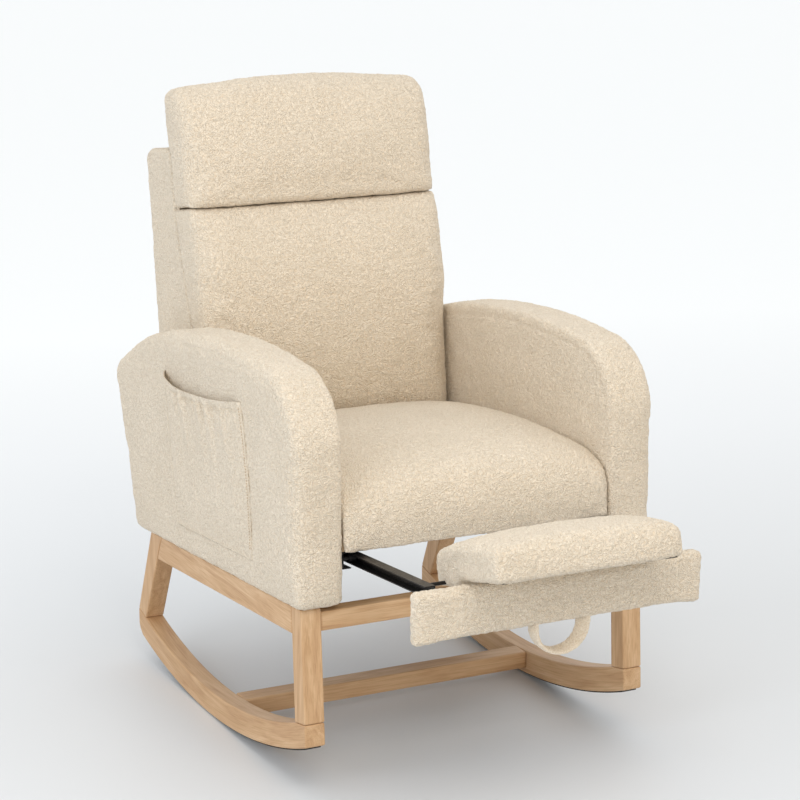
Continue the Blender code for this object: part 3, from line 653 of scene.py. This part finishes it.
def loft_seat():
    """The seat cushion, with the apron that hangs over the front of its frame."""
    flat = [(u, SEAT_UNDERSIDE) for u in np.linspace(0.5350, 0.0250, 40)]
    under = np.array(flat + SEAT_APRON_BACK)
    edge, middle = spline(SEAT_EDGE, 90), spline(SEAT_MIDDLE, 90)
    sections = []
    for x, loop, moved in crowned_loops(SEAT_HALF, SEAT_ROUND, 34, SEAT_X, edge, middle, under, 0.45):
        moved[: len(under)] = loop[: len(under)]
        sections.append([(x, u, w) for u, w in moved])
    return loft("seat_cushion_boucle", sections, lambda p: tilted_point(SEAT_ORIGIN, SEAT_TILT, *p))


def seat_free(co):
    """The seat's top and front are free, but not its sides, rear and underside."""
    along, up = on_tilted(SEAT_ORIGIN, SEAT_TILT, co)
    front = 0.6 * (fall(along, 0.006, 0.006) * rise(up, 0.004, 0.02))
    sides = fall(np.abs(co[:, 0]), SEAT_X, 0.02)
    return np.maximum(rise(up, 0.062, 0.03), front) * sides * fall(along, 0.545, 0.02)


seat = loft_seat()
upholster(seat, VOXEL, passes=4, cap=0.0045, free=seat_free)
curl(seat, 1.0)
finish_fabric(seat, "chair", "seat_cushion")

# -------------------- back and headrest cushions
# (y, z) points of their fronts at a side, from the bottom to the top
LUMBAR_FRONT = [
    (0.3090, 0.4440), (0.3055, 0.4650), (0.3100, 0.5450), (0.3190, 0.6250),
    (0.3280, 0.7020), (0.3400, 0.7560), (0.3550, 0.7990), (0.3650, 0.8210),
    (0.3760, 0.8345), (0.3930, 0.8372),
]
HEAD_FRONT = [
    (0.3950, 0.8380), (0.3800, 0.8405), (0.3745, 0.8520), (0.3800, 0.8760),
    (0.3890, 0.9200), (0.3985, 0.9580), (0.4120, 0.9950), (0.4290, 1.0200),
    (0.4550, 1.0320), (0.4700, 1.0340), (0.4950, 1.0310), (0.5180, 1.0230),
    (0.5330, 1.0080), (0.5345, 0.9800),
]
LUMBAR_FOOT = 0.4402
# the headrest's crown: where it starts, and its lift all across and in the middle
CROWN_Z = 0.98
CROWN_HEIGHT = 0.06
CROWN_LIFT = 0.014
CROWN_MIDDLE = 0.010
# above FREE_Z the headrest stands clear of the shell, and above TOP_Z its edges are the top's
FREE_Z = 0.922
TOP_Z = 0.950
CREASE_Y = 0.3950
CREASE_Z = 0.8385
CREASE_WAVE = 0.0032
CREASE_FALL = 0.17
CREASE_GAP = 0.0005
REST_GAP = 0.0008
# radii of the cushions' edges, how far the headrest's sides are drawn in at the rear, and the
# shell's sides, which start at WING_X_IN and which the cushions' sides tuck into
FRONT_ROUND = 0.030
TOP_ROUND = 0.018
CREASE_ROUND = 0.003
CORNER_ROUND = 0.011
HIGH_ROUND = 0.042
HIGH_DRAWN = 0.068
WING_X_IN = 0.2210
WING_GAP = 0.0015
WING_TUCK = 0.010


def back_half(z):
    """Half width of the cushions: they fit between the arms and widen above them."""
    return 0.2352 + 0.0032 * rise(z, 0.600, 0.080) + 0.0015 * rise(z, 0.965, 0.030)


def wing(z):
    """How far the shell's sides reach forward of the back frame's plane."""
    return 0.0440 + 0.030 * fall(z, 0.80, 0.16)


def crease_line(x, y):
    """Height of the line where the two cushions press together."""
    wave = CREASE_WAVE * noise.noise(Vector((x * 9.0, 0.4, 2.7)))
    return CREASE_Z + wave - CREASE_FALL * max(0.0, y - CREASE_Y)


def drawn_in(place, half, radius):
    """How far a rounded edge is drawn in at a place across, as a share of its radius."""
    over = np.clip(place - (half - radius), 0.0, radius)
    return 1.0 - np.sqrt(np.maximum(0.0, 1.0 - (over / radius) ** 2))


def swollen(front, x, seed, low, high, swell):
    """The front's points at x, which is -1 to 1 across, bulging between two heights."""
    share = max(0.0, 1.0 - abs(x) ** 3.2) ** 0.9
    middle = max(0.0, 1.0 - (x / 0.74) ** 2)
    points = []
    for y, z in front:
        bulge = math.sin(math.pi * rise(z, low, high - low)) ** 0.7
        lift = (CROWN_LIFT * share + CROWN_MIDDLE * middle) * max(0.0, (z - CROWN_Z) / CROWN_HEIGHT)
        wave = 0.0007 * noise.noise(Vector((x * 5.0, z * 14.0, seed)))
        points.append((y - swell * share * bulge + wave * share, z + lift))
    return points


def cushion_sections(front, rear, seed, low, high, swell):
    """Sections of a cushion whose sides, rear and top edges have different rounding."""
    sections = []
    for x in stations(1.0, 0.22, 40):
        shaped = spline(swollen(front, x, seed, low, high, swell), 110)
        loop = np.vstack([shaped, rear(0.2400 * x)])[::-1]
        facing = outward(loop)
        height = loop[:, 1]
        edge = np.where(height > TOP_Z, TOP_ROUND, CREASE_ROUND)
        above = rise(height, FREE_Z, 0.012)
        half = back_half(height)
        place = np.abs(x) * half
        moved = loop.copy()
        to_front = np.clip(-facing[:, 0], 0.0, 1.0)
        moved[:, 0] += FRONT_ROUND * drawn_in(place, half, FRONT_ROUND) * to_front
        beside = (wing(height) + WING_GAP) * (place > WING_X_IN)
        beside += CORNER_ROUND * drawn_in(place, half, CORNER_ROUND)
        behind = beside * (1.0 - above) + HIGH_DRAWN * drawn_in(place, half, HIGH_ROUND) * above
        moved[:, 0] -= behind * np.clip(facing[:, 0], 0.0, 1.0)
        moved[:, 1] -= edge * drawn_in(place, half, edge) * facing[:, 1]
        sections.append([(x * h, y, z) for h, (y, z) in zip(half, moved)])
    return sections


def lumbar_rear(x):
    """The back cushion's top, rear and foot, which rest on something."""
    top = [(y, crease_line(x, y) - CREASE_GAP) for y in np.linspace(0.4050, 0.4980, 24)]
    rear = [(back_front(z, -REST_GAP), z) for z in np.linspace(0.8130, 0.4440, 40)]
    foot = [(y, LUMBAR_FOOT) for y in np.linspace(back_front(0.44) - 0.012, 0.318, 12)]
    return np.array(top + rear + foot)


def head_rear(x):
    """The headrest's rear and foot, which rest on something."""
    rear = [(back_front(z, -REST_GAP), z) for z in np.linspace(0.9550, 0.8280, 18)]
    foot = [(y, crease_line(x, y) + CREASE_GAP) for y in np.linspace(0.4960, 0.4040, 24)]
    return np.array(rear + foot)


def back_free(co):
    """Both cushions are free in front, but not at the crease, the sides and the foot."""
    x, y, z = co.T
    front = rise(back_front(z) - y, 0.004, 0.03)
    crease = rise(np.abs(z - CREASE_Z), 0.004, 0.022)
    return front * crease * fall(np.abs(x), 0.2400, 0.016) * rise(z, 0.442, 0.02)


lumbar = loft("back_cushion_boucle", cushion_sections(LUMBAR_FRONT, lumbar_rear, 1.3, 0.430, 0.850, 0.020))
upholster(lumbar, VOXEL, passes=2, cap=0.0055, free=back_free)
curl(lumbar, 2.0)
finish_fabric(lumbar, "back", "back_cushion")
head = loft("headrest_boucle", cushion_sections(HEAD_FRONT, head_rear, 5.9, 0.826, 1.050, 0.019))
upholster(head, VOXEL, passes=2, cap=0.0028, free=back_free)
curl(head, 2.6)
finish_fabric(head, "back", "headrest_cushion")

# -------------------- back shell
# (y, z) points of its side outline, round its rear from the foot to the top and down its front
SHELL_OUTLINE = [
    (back_front(0.3290), 0.3290),
    (0.4400, 0.3215),
    (0.4740, 0.3235),
    (0.4900, 0.3370),
    (0.5160, 0.3790),
    (0.5370, 0.4400),
    (0.5570, 0.5200),
    (0.5740, 0.6300),
    (0.5900, 0.7600),
    (0.6010, 0.8700),
    (0.6040, 0.8980),
    (0.5970, 0.9130),
    (0.5800, 0.9205),
    (0.5480, 0.9265),
    (back_front(0.9250, 0.004), 0.9265),
    (back_front(0.9180), 0.9180),
] + [(back_front(z), z) for z in (0.86, 0.70, 0.55, 0.42)]
SHELL_X = BACK_X - 0.0028
SHELL_ROUND = 0.0100
SHELL_CROWN = 0.004
SHELL_PROUD = 0.0050
# the seam that runs round the rear panel, and the line where the cushions' sides press on the shell
SHELL_SEAM_X = BACK_X - 0.018
SHELL_SEAM_LOW = 0.352
SHELL_SEAM_HIGH = 0.899
SHELL_SEAM_WIDTH = 0.0030
SHELL_SEAM_DEPTH = 0.0030
TUCK_BEHIND = 0.0020
TUCK_WIDTH = 0.0048
TUCK_DEPTH = 0.0070


def loft_shell():
    """The shell behind the cushions, whose sides reach forward to hold them."""
    outline = spline(SHELL_OUTLINE, 220, True)
    ends = [SHELL_X - SHELL_ROUND + SHELL_ROUND * math.sin(q) for q in np.linspace(0.15, math.pi / 2.0, 9)]
    places = list(np.linspace(0.0, 0.2190, 14)) + [0.2212, 0.2234] + ends
    sections = []
    for x in [-v for v in reversed(places[1:])] + places:
        loop = outline.copy()
        behind = rise(loop[:, 0], back_front(loop[:, 1], 0.02), 0.06)
        crown = SHELL_CROWN * (1.0 - abs(x / SHELL_X) ** 3)
        loop[:, 0] += (crown + SHELL_PROUD) * behind
        forward = fall(loop[:, 0], back_front(loop[:, 1], 0.020), 0.020)
        forward *= rise(loop[:, 1], 0.400, 0.060) * rise(abs(x), 0.2200, 0.0030)
        loop[:, 0] -= forward * (wing(loop[:, 1]) + WING_TUCK)
        moved = inset_loop(loop, rounding(x, SHELL_X, SHELL_ROUND) * 0.9)
        sections.append([(x, y, z) for y, z in moved])
    return loft("back_shell_boucle", sections)


def shell_free(co):
    """The shell's rear is free, but not its front and sides."""
    behind = rise(co[:, 1] - back_front(co[:, 2]), 0.002, 0.02)
    return behind * fall(np.abs(co[:, 0]), BACK_X + 0.002, 0.012)


def shell_seam(co):
    """Distance to the seam round the rear panel."""
    across, height = np.abs(co[:, 0]), co[:, 2]
    to_side = np.abs(across - SHELL_SEAM_X)
    to_end = np.minimum(np.abs(height - SHELL_SEAM_LOW), np.abs(height - SHELL_SEAM_HIGH))
    beside = (height > SHELL_SEAM_LOW) & (height < SHELL_SEAM_HIGH)
    gone = np.where(beside, to_side, 1.0)
    return np.where(across < SHELL_SEAM_X, np.minimum(gone, to_end), gone)


def tuck_line(co):
    """Distance to the line where the cushions' sides press on the shell's sides."""
    pressed = back_front(co[:, 2]) - wing(co[:, 2]) + TUCK_BEHIND
    return np.abs(co[:, 1] - pressed)


shell = loft_shell()
upholster(shell, VOXEL, passes=3, cap=0.0045, free=shell_free)
groove(shell, shell_seam, SHELL_SEAM_WIDTH, SHELL_SEAM_DEPTH, lambda d: rise(d[:, 1], 0.3, 0.3))
groove(shell, tuck_line, TUCK_WIDTH, TUCK_DEPTH, lambda d: rise(np.abs(d[:, 0]), 0.5, 0.3))
curl(shell, 3.0)
finish_fabric(shell, "back", "back_shell")


# -------------------- arms
def line(a, b, shares):
    """Points on the line from a to b."""
    return [(a[0] + (b[0] - a[0]) * s, a[1] + (b[1] - a[1]) * s) for s in shares]


def arm_loop():
    """The arm's side outline, counter-clockwise seen from +X."""
    foot = [(y, base_top(y) + 0.0006) for y in np.linspace(-0.2330, 0.4660, 72)]
    heel_low = (0.4700, base_top(0.4700) + 0.0007)
    heel = arc3(heel_low, (0.4810, base_top(0.4810) + 0.0060), (0.4862, 0.2640), 6)
    rear = line((0.4862, 0.2640), (0.5630, 0.4960), np.linspace(0.04, 0.97, 26))
    corner = arc3((0.5630, 0.4960), (0.5685, 0.5290), (0.5420, 0.5575), 16)
    tail = arc3((0.5420, 0.5575), (0.4820, 0.5915), (0.4200, 0.6205), 16)
    top = arc3((0.4200, 0.6205), (0.1500, 0.6700), (-0.1350, 0.6725), 44)
    nose = arc3((-0.1350, 0.6725), (-0.2165, 0.6335), (-0.2470, 0.5450), 26)
    front = line((-0.2472, 0.5450), (-0.2472, 0.3260), np.linspace(0.04, 1.0, 22))
    toe = arc3((-0.2474, 0.3240), (-0.2440, 0.3140), (-0.2345, base_top(-0.2345) + 0.0010), 5)
    return np.array(foot + heel + rear + corner + tail[1:] + top[1:] + nose[1:] + front + toe[:-1])


arm_outline = arm_loop()
ARM_PAD_HALF = ARM_HALF - 0.001
ARM_ROUND = 0.016
ARM_PROUD = 0.0045
LOW_BAND_TOP = 0.345
# the seam round the arm's outer face: how far in from the outline, and above the base
ARM_SEAM_IN = 0.0215
ARM_SEAM_UP = 0.024
ARM_SEAM_WIDTH = 0.0026
ARM_SEAM_DEPTH = 0.0013


def loft_arm():
    """The right arm's padded cover: rounded above, and square where it sits on the base."""
    proud = ARM_PROUD * fall(arm_outline[:, 0], 0.420, 0.120)
    above_fall = LOW_BAND_TOP - arm_outline[:, 1] - BASE_FALL * (arm_outline[:, 0] - BASE_Y)
    lowness = rise(above_fall, 0.0, 0.03)[:, None]
    sections = []
    for x in stations(ARM_PAD_HALF, ARM_ROUND, 12):
        drawn = rounding(x, ARM_PAD_HALF, ARM_ROUND)
        rounded = inset_loop(arm_outline, drawn - proud)
        square = inset_loop(arm_outline, drawn * 0.35)
        blended = rounded * (1.0 - lowness) + square * lowness
        sections.append([(ARM_MID + x, y, z) for y, z in blended])
    return loft("arm_cover_boucle_right", sections)


def arm_free(co):
    """The arm is free but for its foot and inner face, and less free under the pocket."""
    x, y, z = co.T
    inner = np.clip((x - ARM_X_IN - 0.002) / 0.012, 0.05, 1.0)
    beside = fall(np.abs(y - 0.12), 0.270, 0.08)
    under_pocket = beside * fall(z, 0.665, 0.09) * rise(x, ARM_MID, 0.02)
    return rise(z - base_top(y), 0.004, 0.05) * inner * (1.0 - 0.65 * under_pocket)


def arm_seam(co):
    """Distance to the seam round the arm's outer face."""
    seam = inset_loop(spline(arm_outline, 900, True), ARM_SEAM_IN)
    seam = seam[seam[:, 1] > base_top(seam[:, 0]) + ARM_SEAM_UP]
    best = np.full(len(co), 9.0)
    chunk = 20000
    for start in range(0, len(co), chunk):
        part = co[start : start + chunk, 1:3]
        gaps = np.linalg.norm(part[:, None, :] - seam[None, :, :], axis=2)
        best[start : start + chunk] = gaps.min(axis=1)
    return best


def mirrored(item, name):
    """A copy of an object on the other side of the chair."""
    other = link_object(name, item.data.copy())
    set_coordinates(other, vertex_rows(other.data, "co") * (-1.0, 1.0, 1.0))
    other.data.flip_normals()
    return other


arm_right = loft_arm()
upholster(arm_right, VOXEL, passes=3, cap=0.0050, free=arm_free)
groove(arm_right, arm_seam, ARM_SEAM_WIDTH, ARM_SEAM_DEPTH, lambda d: rise(np.abs(d[:, 0]), 0.55, 0.25))
curl(arm_right, 4.0)
arm_left = mirrored(arm_right, "arm_cover_boucle_left")
finish_fabric(arm_right, "chair", "arm_cover_right")
finish_fabric(arm_left, "chair", "arm_cover_left")

# -------------------- side pockets
POCKET_MOUTH = [
    (-0.0330, 0.5985), (0.0370, 0.5860), (0.1000, 0.5765), (0.1700, 0.5695),
    (0.2150, 0.5670), (0.2600, 0.5700), (0.3060, 0.5790),
]
POCKET_FOOT = [(-0.0700, 0.3450), (0.2560, 0.3180)]
# how far the pocket's front and rear seams bow
POCKET_BOW = (-0.010, 0.004)
POCKET_X = ARM_X_OUT + 0.0010
POCKET_STEPS = 150
POCKET_ROWS = 130
POCKET_THICK = 0.0024
POCKET_FUZZ = 0.0006
POCKET_BELLY = 0.0082
POCKET_GATHER = 0.0042
# (waves across the pocket, phase, how far down they reach) of the gathered folds
POCKET_FOLDS = ((6.0, 0.4, 0.32), (10.0, 1.9, 0.26), (17.0, 0.7, 0.12))
# the hem ends at this share of the depth
HEM_END = 0.046
HEM_RISE = 0.0026
HEM_SEAM_DEPTH = 0.0011
mouth_curve = spline(POCKET_MOUTH, POCKET_STEPS + 1)


def bell(value, middle, width):
    """1 at the middle, falling to 0 on both sides of it."""
    return math.exp(-(((value - middle) / width) ** 2))


def eased(value):
    """0 to 1, slowing down towards 1."""
    return math.sin(max(0.0, min(1.0, value)) * math.pi / 2.0)


def pocket_surface(s, t):
    """The pocket patch's outer skin: s from front to rear, t from mouth to foot."""
    head = mouth_curve[min(POCKET_STEPS, int(round(s * POCKET_STEPS)))]
    (foot,) = line(*POCKET_FOOT, [s])
    arch = math.sin(math.pi * t)
    bow = POCKET_BOW[0] * arch * (1.0 - s) + POCKET_BOW[1] * arch * s
    ((y, z),) = line(head, foot, [t])
    sides = eased(min((1.0 - s) / 0.09, s / 0.16)) ** 0.8
    rear_pull = 1.0 + 0.35 * bell(s, 0.80, 0.16) * math.exp(-t / 0.10)
    low = eased((1.0 - t) / 0.30)
    belly = POCKET_BELLY * sides * low * (0.60 + 0.40 * bell(t, 0.0, 0.35)) * rear_pull
    fold = 0.0
    for k, (waves, phase, reach) in enumerate(POCKET_FOLDS):
        wobble = 0.35 * noise.noise(Vector((s * 4.0, t * 2.0, k * 3.7)))
        wave = math.sin(2.0 * math.pi * (waves * s + wobble) + phase)
        fold += wave * math.exp(-max(0.0, t - 0.06) / reach) / (k + 1.2)
    gather = POCKET_GATHER * fold * sides * min(1.0, t / 0.055) ** 2
    band = 1.0 / (1.0 + math.exp((t - HEM_END) / 0.0045))
    hem = HEM_RISE * band * sides - HEM_SEAM_DEPTH * bell(t, 0.054, 0.009) * sides
    return POCKET_X + 0.0010 + belly + gather + hem, y + bow, z


def build_pocket(name, sign):
    """A gathered patch pocket: a thin cloth, sewn down on three sides."""
    width = POCKET_STEPS + 1
    size = width * (POCKET_ROWS + 1)
    rows = [(j / POCKET_ROWS) ** 1.15 for j in range(POCKET_ROWS + 1)]
    outer = [pocket_surface(i / POCKET_STEPS, t) for t in rows for i in range(width)]
    inner = [(max(POCKET_X - 0.0010, x - POCKET_THICK), y, z) for x, y, z in outer]
    verts = [(sign * x, y, z) for x, y, z in outer + inner]
    faces = []
    for j in range(POCKET_ROWS):
        for a in range(j * width, j * width + POCKET_STEPS):
            faces.append((a, a + 1, a + 1 + width, a + width))
            faces.append((size + a, size + a + width, size + a + 1 + width, size + a + 1))
    rim = list(range(width))
    rim += [j * width + POCKET_STEPS for j in range(1, POCKET_ROWS + 1)]
    rim += [POCKET_ROWS * width + i for i in range(POCKET_STEPS - 1, -1, -1)]
    rim += [j * width for j in range(POCKET_ROWS - 1, 0, -1)]
    for a, b in zip(rim, rim[1:] + rim[:1]):
        faces.append((a, b, size + b, size + a))
    pocket = mesh_object(name, verts, faces)
    displace_noise(pocket, FUZZ_SCALE, POCKET_FUZZ, 6.0 + sign)
    side = "right" if sign > 0 else "left"
    finish_fabric(pocket, "chair", f"side_pocket_{side}")


STITCH_LENGTH = 0.0030
STITCH_PITCH = 0.0046
STITCH_RADIUS = 0.00055
STITCH_SIDES = 6
# (share of the length, lift, share of the radius) of a stitch's rings
STITCH_RINGS = ((0.0, -0.0004, 0.35), (0.25, 0.0003, 1.0), (0.75, 0.0003, 1.0), (1.0, -0.0004, 0.35))


def stitches(name, path, up, material):
    """A row of short thread stitches along a path of points, standing slightly proud."""
    path = np.array(path, float)
    lengths = lengths_along(path)

    def at(along):
        return Vector([np.interp(along, lengths, column) for column in path.T])

    verts = []
    faces = []
    along = STITCH_PITCH
    while along < lengths[-1] - STITCH_LENGTH:
        a, b = at(along), at(along + STITCH_LENGTH)
        side = (b - a).normalized().cross(up).normalized()
        faces += tube_faces(len(verts), len(STITCH_RINGS), STITCH_SIDES)
        for share, lift, fat in STITCH_RINGS:
            middle = a + (b - a) * share + up * lift
            for k in range(STITCH_SIDES):
                q = 2.0 * math.pi * k / STITCH_SIDES
                verts.append(middle + (side * math.cos(q) + up * math.sin(q)) * STITCH_RADIUS * fat)
        along += STITCH_PITCH
    item = mesh_object(name, verts, faces)
    item.data.materials.append(material)
    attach(item, "chair")


def on_pocket(sign, samples):
    """Points just above the pocket's skin, at (s, t) samples."""
    skin = [pocket_surface(s, t) for s, t in samples]
    return [(sign * (x + 0.0006), y, z) for x, y, z in skin]


FRONT_SEAM = [(0.012, t) for t in np.linspace(0.02, 0.930, 60)]
FOOT_SEAM = [(s, 0.985) for s in np.linspace(0.03, 0.97, 60)]
REAR_SEAM = [(0.988, t) for t in np.linspace(0.985, 0.03, 60)]
HEM_SEAM = [(s, 0.052) for s in np.linspace(0.03, 0.97, 90)]
for side, sign in SIDES:
    up = Vector((sign, 0.0, 0.0))
    build_pocket(f"pocket_patch_{side}", sign)
    stitches(f"pocket_stitches_{side}", on_pocket(sign, FRONT_SEAM), up, thread)
    stitches(f"pocket_foot_stitches_{side}", on_pocket(sign, FOOT_SEAM + REAR_SEAM), up, pale_thread)
    stitches(f"hem_stitches_{side}", on_pocket(sign, HEM_SEAM), up, pale_thread)

# -------------------- footrest panel
PANEL_Y = (-0.5085, -0.4868)
PANEL_Z = (0.3263, 0.4078)
PANEL_X = 0.2448
PANEL_ROUND = 0.0060


def rounded_box_loop(ys, zs, r, count):
    """A rectangle with round corners, counter-clockwise seen from +X."""
    corners = ((ys[1] - r, zs[0] + r), (ys[1] - r, zs[1] - r), (ys[0] + r, zs[1] - r), (ys[0] + r, zs[0] + r))
    points = []
    for quarter, (cy, cz) in enumerate(corners):
        for k in range(7):
            q = math.radians(90.0 * (quarter - 1) + 15.0 * k)
            points.append((cy + r * math.cos(q), cz + r * math.sin(q)))
    return even_steps(np.array(points + points[:1]), count, True)


def loft_panel():
    """The padded cover of the board that the footrest's runners carry."""
    loop = rounded_box_loop(PANEL_Y, PANEL_Z, PANEL_ROUND, 90)
    sections = []
    for x in stations(PANEL_X, PANEL_ROUND, 40):
        moved = inset_loop(loop, rounding(x, PANEL_X, PANEL_ROUND) * 0.9)
        sections.append([(x, y, z) for y, z in moved])
    return loft("panel_boucle", sections)


def panel_free(co):
    """The panel's front is free, and its top a little."""
    return fall(co[:, 1], -0.4885, 0.01) * np.clip((PANEL_Z[1] - co[:, 2]) / 0.006, 0.15, 1.0)


panel = loft_panel()
upholster(panel, 0.0040, passes=2, cap=0.0030, free=panel_free)
curl(panel, 8.0)
finish_fabric(panel, "footrest", "panel_cover")

# -------------------- footrest pad
# (along, above) points from the front's foot over the top to the rear's foot
PAD_EDGE = [
    (-0.1740, 0.0052), (-0.1755, 0.0120), (-0.1767, 0.0250), (-0.1760, 0.0380),
    (-0.1690, 0.0475), (-0.1480, 0.0520), (-0.1100, 0.0545), (-0.0740, 0.0550),
    (-0.0350, 0.0525), (0.0050, 0.0470), (0.0230, 0.0410), (0.0285, 0.0300),
    (0.0292, 0.0100), (0.0280, -0.0070), (0.0200, -0.0078),
]
PAD_MIDDLE = [
    (-0.1740, 0.0052), (-0.1762, 0.0120), (-0.1785, 0.0280), (-0.1765, 0.0440),
    (-0.1660, 0.0550), (-0.1440, 0.0620), (-0.1100, 0.0670), (-0.0740, 0.0685),
    (-0.0350, 0.0640), (0.0030, 0.0540), (0.0215, 0.0440), (0.0285, 0.0300),
    (0.0292, 0.0100), (0.0280, -0.0070), (0.0200, -0.0078),
]
PAD_ROUND = 0.012


def pad_foot(v):
    """The skirt's lower edge, which hangs lower towards the rear."""
    return 0.0028 - 0.0108 * rise(v, -0.0490, 0.0130)


def loft_pad():
    """The footrest's cushion."""
    under = np.array([(v, pad_foot(v)) for v in np.linspace(0.0130, -0.1660, 30)])
    edge, middle = spline(PAD_EDGE, 80), spline(PAD_MIDDLE, 80)
    sections = []
    for x, loop, moved in crowned_loops(PAD_X, PAD_ROUND, 30, PAD_X, edge, middle, under, 0.8):
        moved[:, 1] = np.maximum(moved[:, 1], pad_foot(moved[:, 0]))
        sections.append([(x, v, n) for v, n in moved])
    return loft("footrest_pad_boucle", sections, lambda p: tilted_point(PAD_ORIGIN, PAD_TILT, *p))


def pad_free(co):
    """The pad is free above its board."""
    return rise(on_tilted(PAD_ORIGIN, PAD_TILT, co)[1], 0.012, 0.03)


pad = loft_pad()
upholster(pad, 0.0050, passes=3, cap=0.0040, free=pad_free)
curl(pad, 9.0)
finish_fabric(pad, "footrest_pad", "footrest_cushion")

# -------------------- pull strap
STRAP_TOP = 0.3265
STRAP_Y = -0.4975
STRAP_HALF = 0.0428
STRAP_DROP = 0.0447
STRAP_TUCK = Vector((0.0, 0.0, 0.0080))
STRAP_HALF_WIDTH = 0.0122
STRAP_HALF_THICK = 0.0034
STRAP_STEPS = 48
STRAP_SIDES = 14
STRAP_FUZZ = 0.0008


def bulged(value, power):
    """A sine or cosine pushed out from a circle towards a square."""
    return math.copysign(abs(value) ** power, value)


def build_strap():
    """A folded boucle band hung in a loop below the panel."""
    path = []
    for k in range(STRAP_STEPS + 1):
        q = math.pi * k / STRAP_STEPS
        path.append(Vector((-STRAP_HALF * math.cos(q), STRAP_Y, STRAP_TOP - STRAP_DROP * math.sin(q) ** 0.9)))
    path = [path[0] + STRAP_TUCK] + path + [path[-1] + STRAP_TUCK]
    verts = []
    for index, point in enumerate(path):
        tangent = (path[min(len(path) - 1, index + 1)] - path[max(0, index - 1)]).normalized()
        twist = math.radians(-9.0 + 49.0 * (index / (len(path) - 1)) ** 1.3)
        wide = Vector((0.0, 1.0, 0.0))
        flat = tangent.cross(wide).normalized()
        across = wide * math.cos(twist) + flat * math.sin(twist)
        through = flat * math.cos(twist) - wide * math.sin(twist)
        for k in range(STRAP_SIDES):
            q = 2.0 * math.pi * k / STRAP_SIDES
            a = bulged(math.cos(q), 0.55) * STRAP_HALF_WIDTH
            b = bulged(math.sin(q), 0.75) * STRAP_HALF_THICK
            verts.append(point + across * a + through * b)
    strap = mesh_object("pull_strap_boucle", verts, tube_faces(0, len(path), STRAP_SIDES))
    subdivide(strap, 2)
    displace_noise(strap, FUZZ_SCALE, STRAP_FUZZ, 12.0)
    finish_fabric(strap, "footrest", "pull_strap", material=fabric_fine)


build_strap()


# -------------------- stage, lights and camera
# the floor's painted light: an offset, and the length over which it pales from near to far
FLOOR_NEAR = 3.6
FLOOR_LENGTH = 4.0


def build_floor():
    """A studio floor whose colour carries painted light and shadow: darker near the camera and under the
    chair, paler further back, with the fall turned so that the left stays lighter.
    """
    bpy.ops.mesh.primitive_plane_add(size=24.0, location=(0.0, 4.0, 0.0))
    floor = bpy.context.object
    floor.name = "floor"
    t = Tree("studio_floor_painted_light")
    place = t.split(t.place())
    # painted light: how far back a point lies, leaned so that the left side comes out lighter than along the
    # view
    depth = t.weighted(0.0, (place["X"], 0.220), (place["Y"], 0.898))
    share = t.math("DIVIDE", t.math("ADD", depth, FLOOR_NEAR), FLOOR_LENGTH, clamp=True)
    # painted shadow near the chair, paling to painted light far off
    near, mid, far = (0.700, 0.720, 0.740), (0.850, 0.870, 0.890), (0.950, 0.970, 0.980)
    t.colour(t.ramp(share, (0.10, near), (0.42, mid), (0.72, far)))
    t.put(t.shader, Roughness=0.55)
    floor.data.materials.append(t.mat)


def build_surround():
    """A white surround that is warmer in front of the chair."""
    world = bpy.data.worlds.new("studio")
    bpy.context.scene.world = world
    world.use_nodes = True
    tree = world.node_tree
    around = tree.nodes.new("ShaderNodeTexCoord")
    facing = tree.nodes.new("ShaderNodeSeparateXYZ")
    tree.links.new(around.outputs["Generated"], facing.inputs[0])
    spread = tree.nodes.new("ShaderNodeMapRange")
    spread.inputs["From Min"].default_value = -0.9
    spread.inputs["From Max"].default_value = -0.2
    tree.links.new(facing.outputs["Y"], spread.inputs["Value"])
    ramp = tree.nodes.new("ShaderNodeValToRGB")
    ramp.color_ramp.elements[0].color = (0.885, 0.800, 0.705, 1.0)
    ramp.color_ramp.elements[1].color = (0.965, 0.985, 1.0, 1.0)
    tree.links.new(spread.outputs["Result"], ramp.inputs["Fac"])
    background = tree.nodes["Background"]
    tree.links.new(ramp.outputs["Color"], background.inputs["Color"])
    background.inputs["Strength"].default_value = 1.05


def area_light(name, location, target, size, power, colour):
    data = bpy.data.lights.new(name, "AREA")
    data.shape = "RECTANGLE"
    data.size, data.size_y = size
    data.energy = power
    data.color = colour
    item = link_object(name, data)
    item.location = location
    direction = Vector(target) - Vector(location)
    item.rotation_euler = direction.to_track_quat("-Z", "Y").to_euler()


def build_camera():
    data = bpy.data.cameras.new("photo_view")
    data.lens = 110.23
    data.sensor_width = 36.0
    data.clip_end = 60.0
    camera = link_object("photo_view", data)
    camera.location = (-1.7515, -3.5309, 1.5379)
    camera.rotation_euler = (math.radians(76.057), 0.0, math.radians(-26.107))
    bpy.context.scene.camera = camera


build_floor()
build_surround()
area_light("main", (-0.35, -1.75, 2.35), (0.0, 0.2, 0.60), (1.3, 1.1), 17.5, (1.0, 0.955, 0.89))
area_light("fill", (-3.0, -1.2, 1.7), (0.0, 0.0, 0.5), (1.8, 1.8), 23.0, (0.89, 0.93, 1.0))
build_camera()
bpy.context.scene.view_settings.view_transform = "Standard"
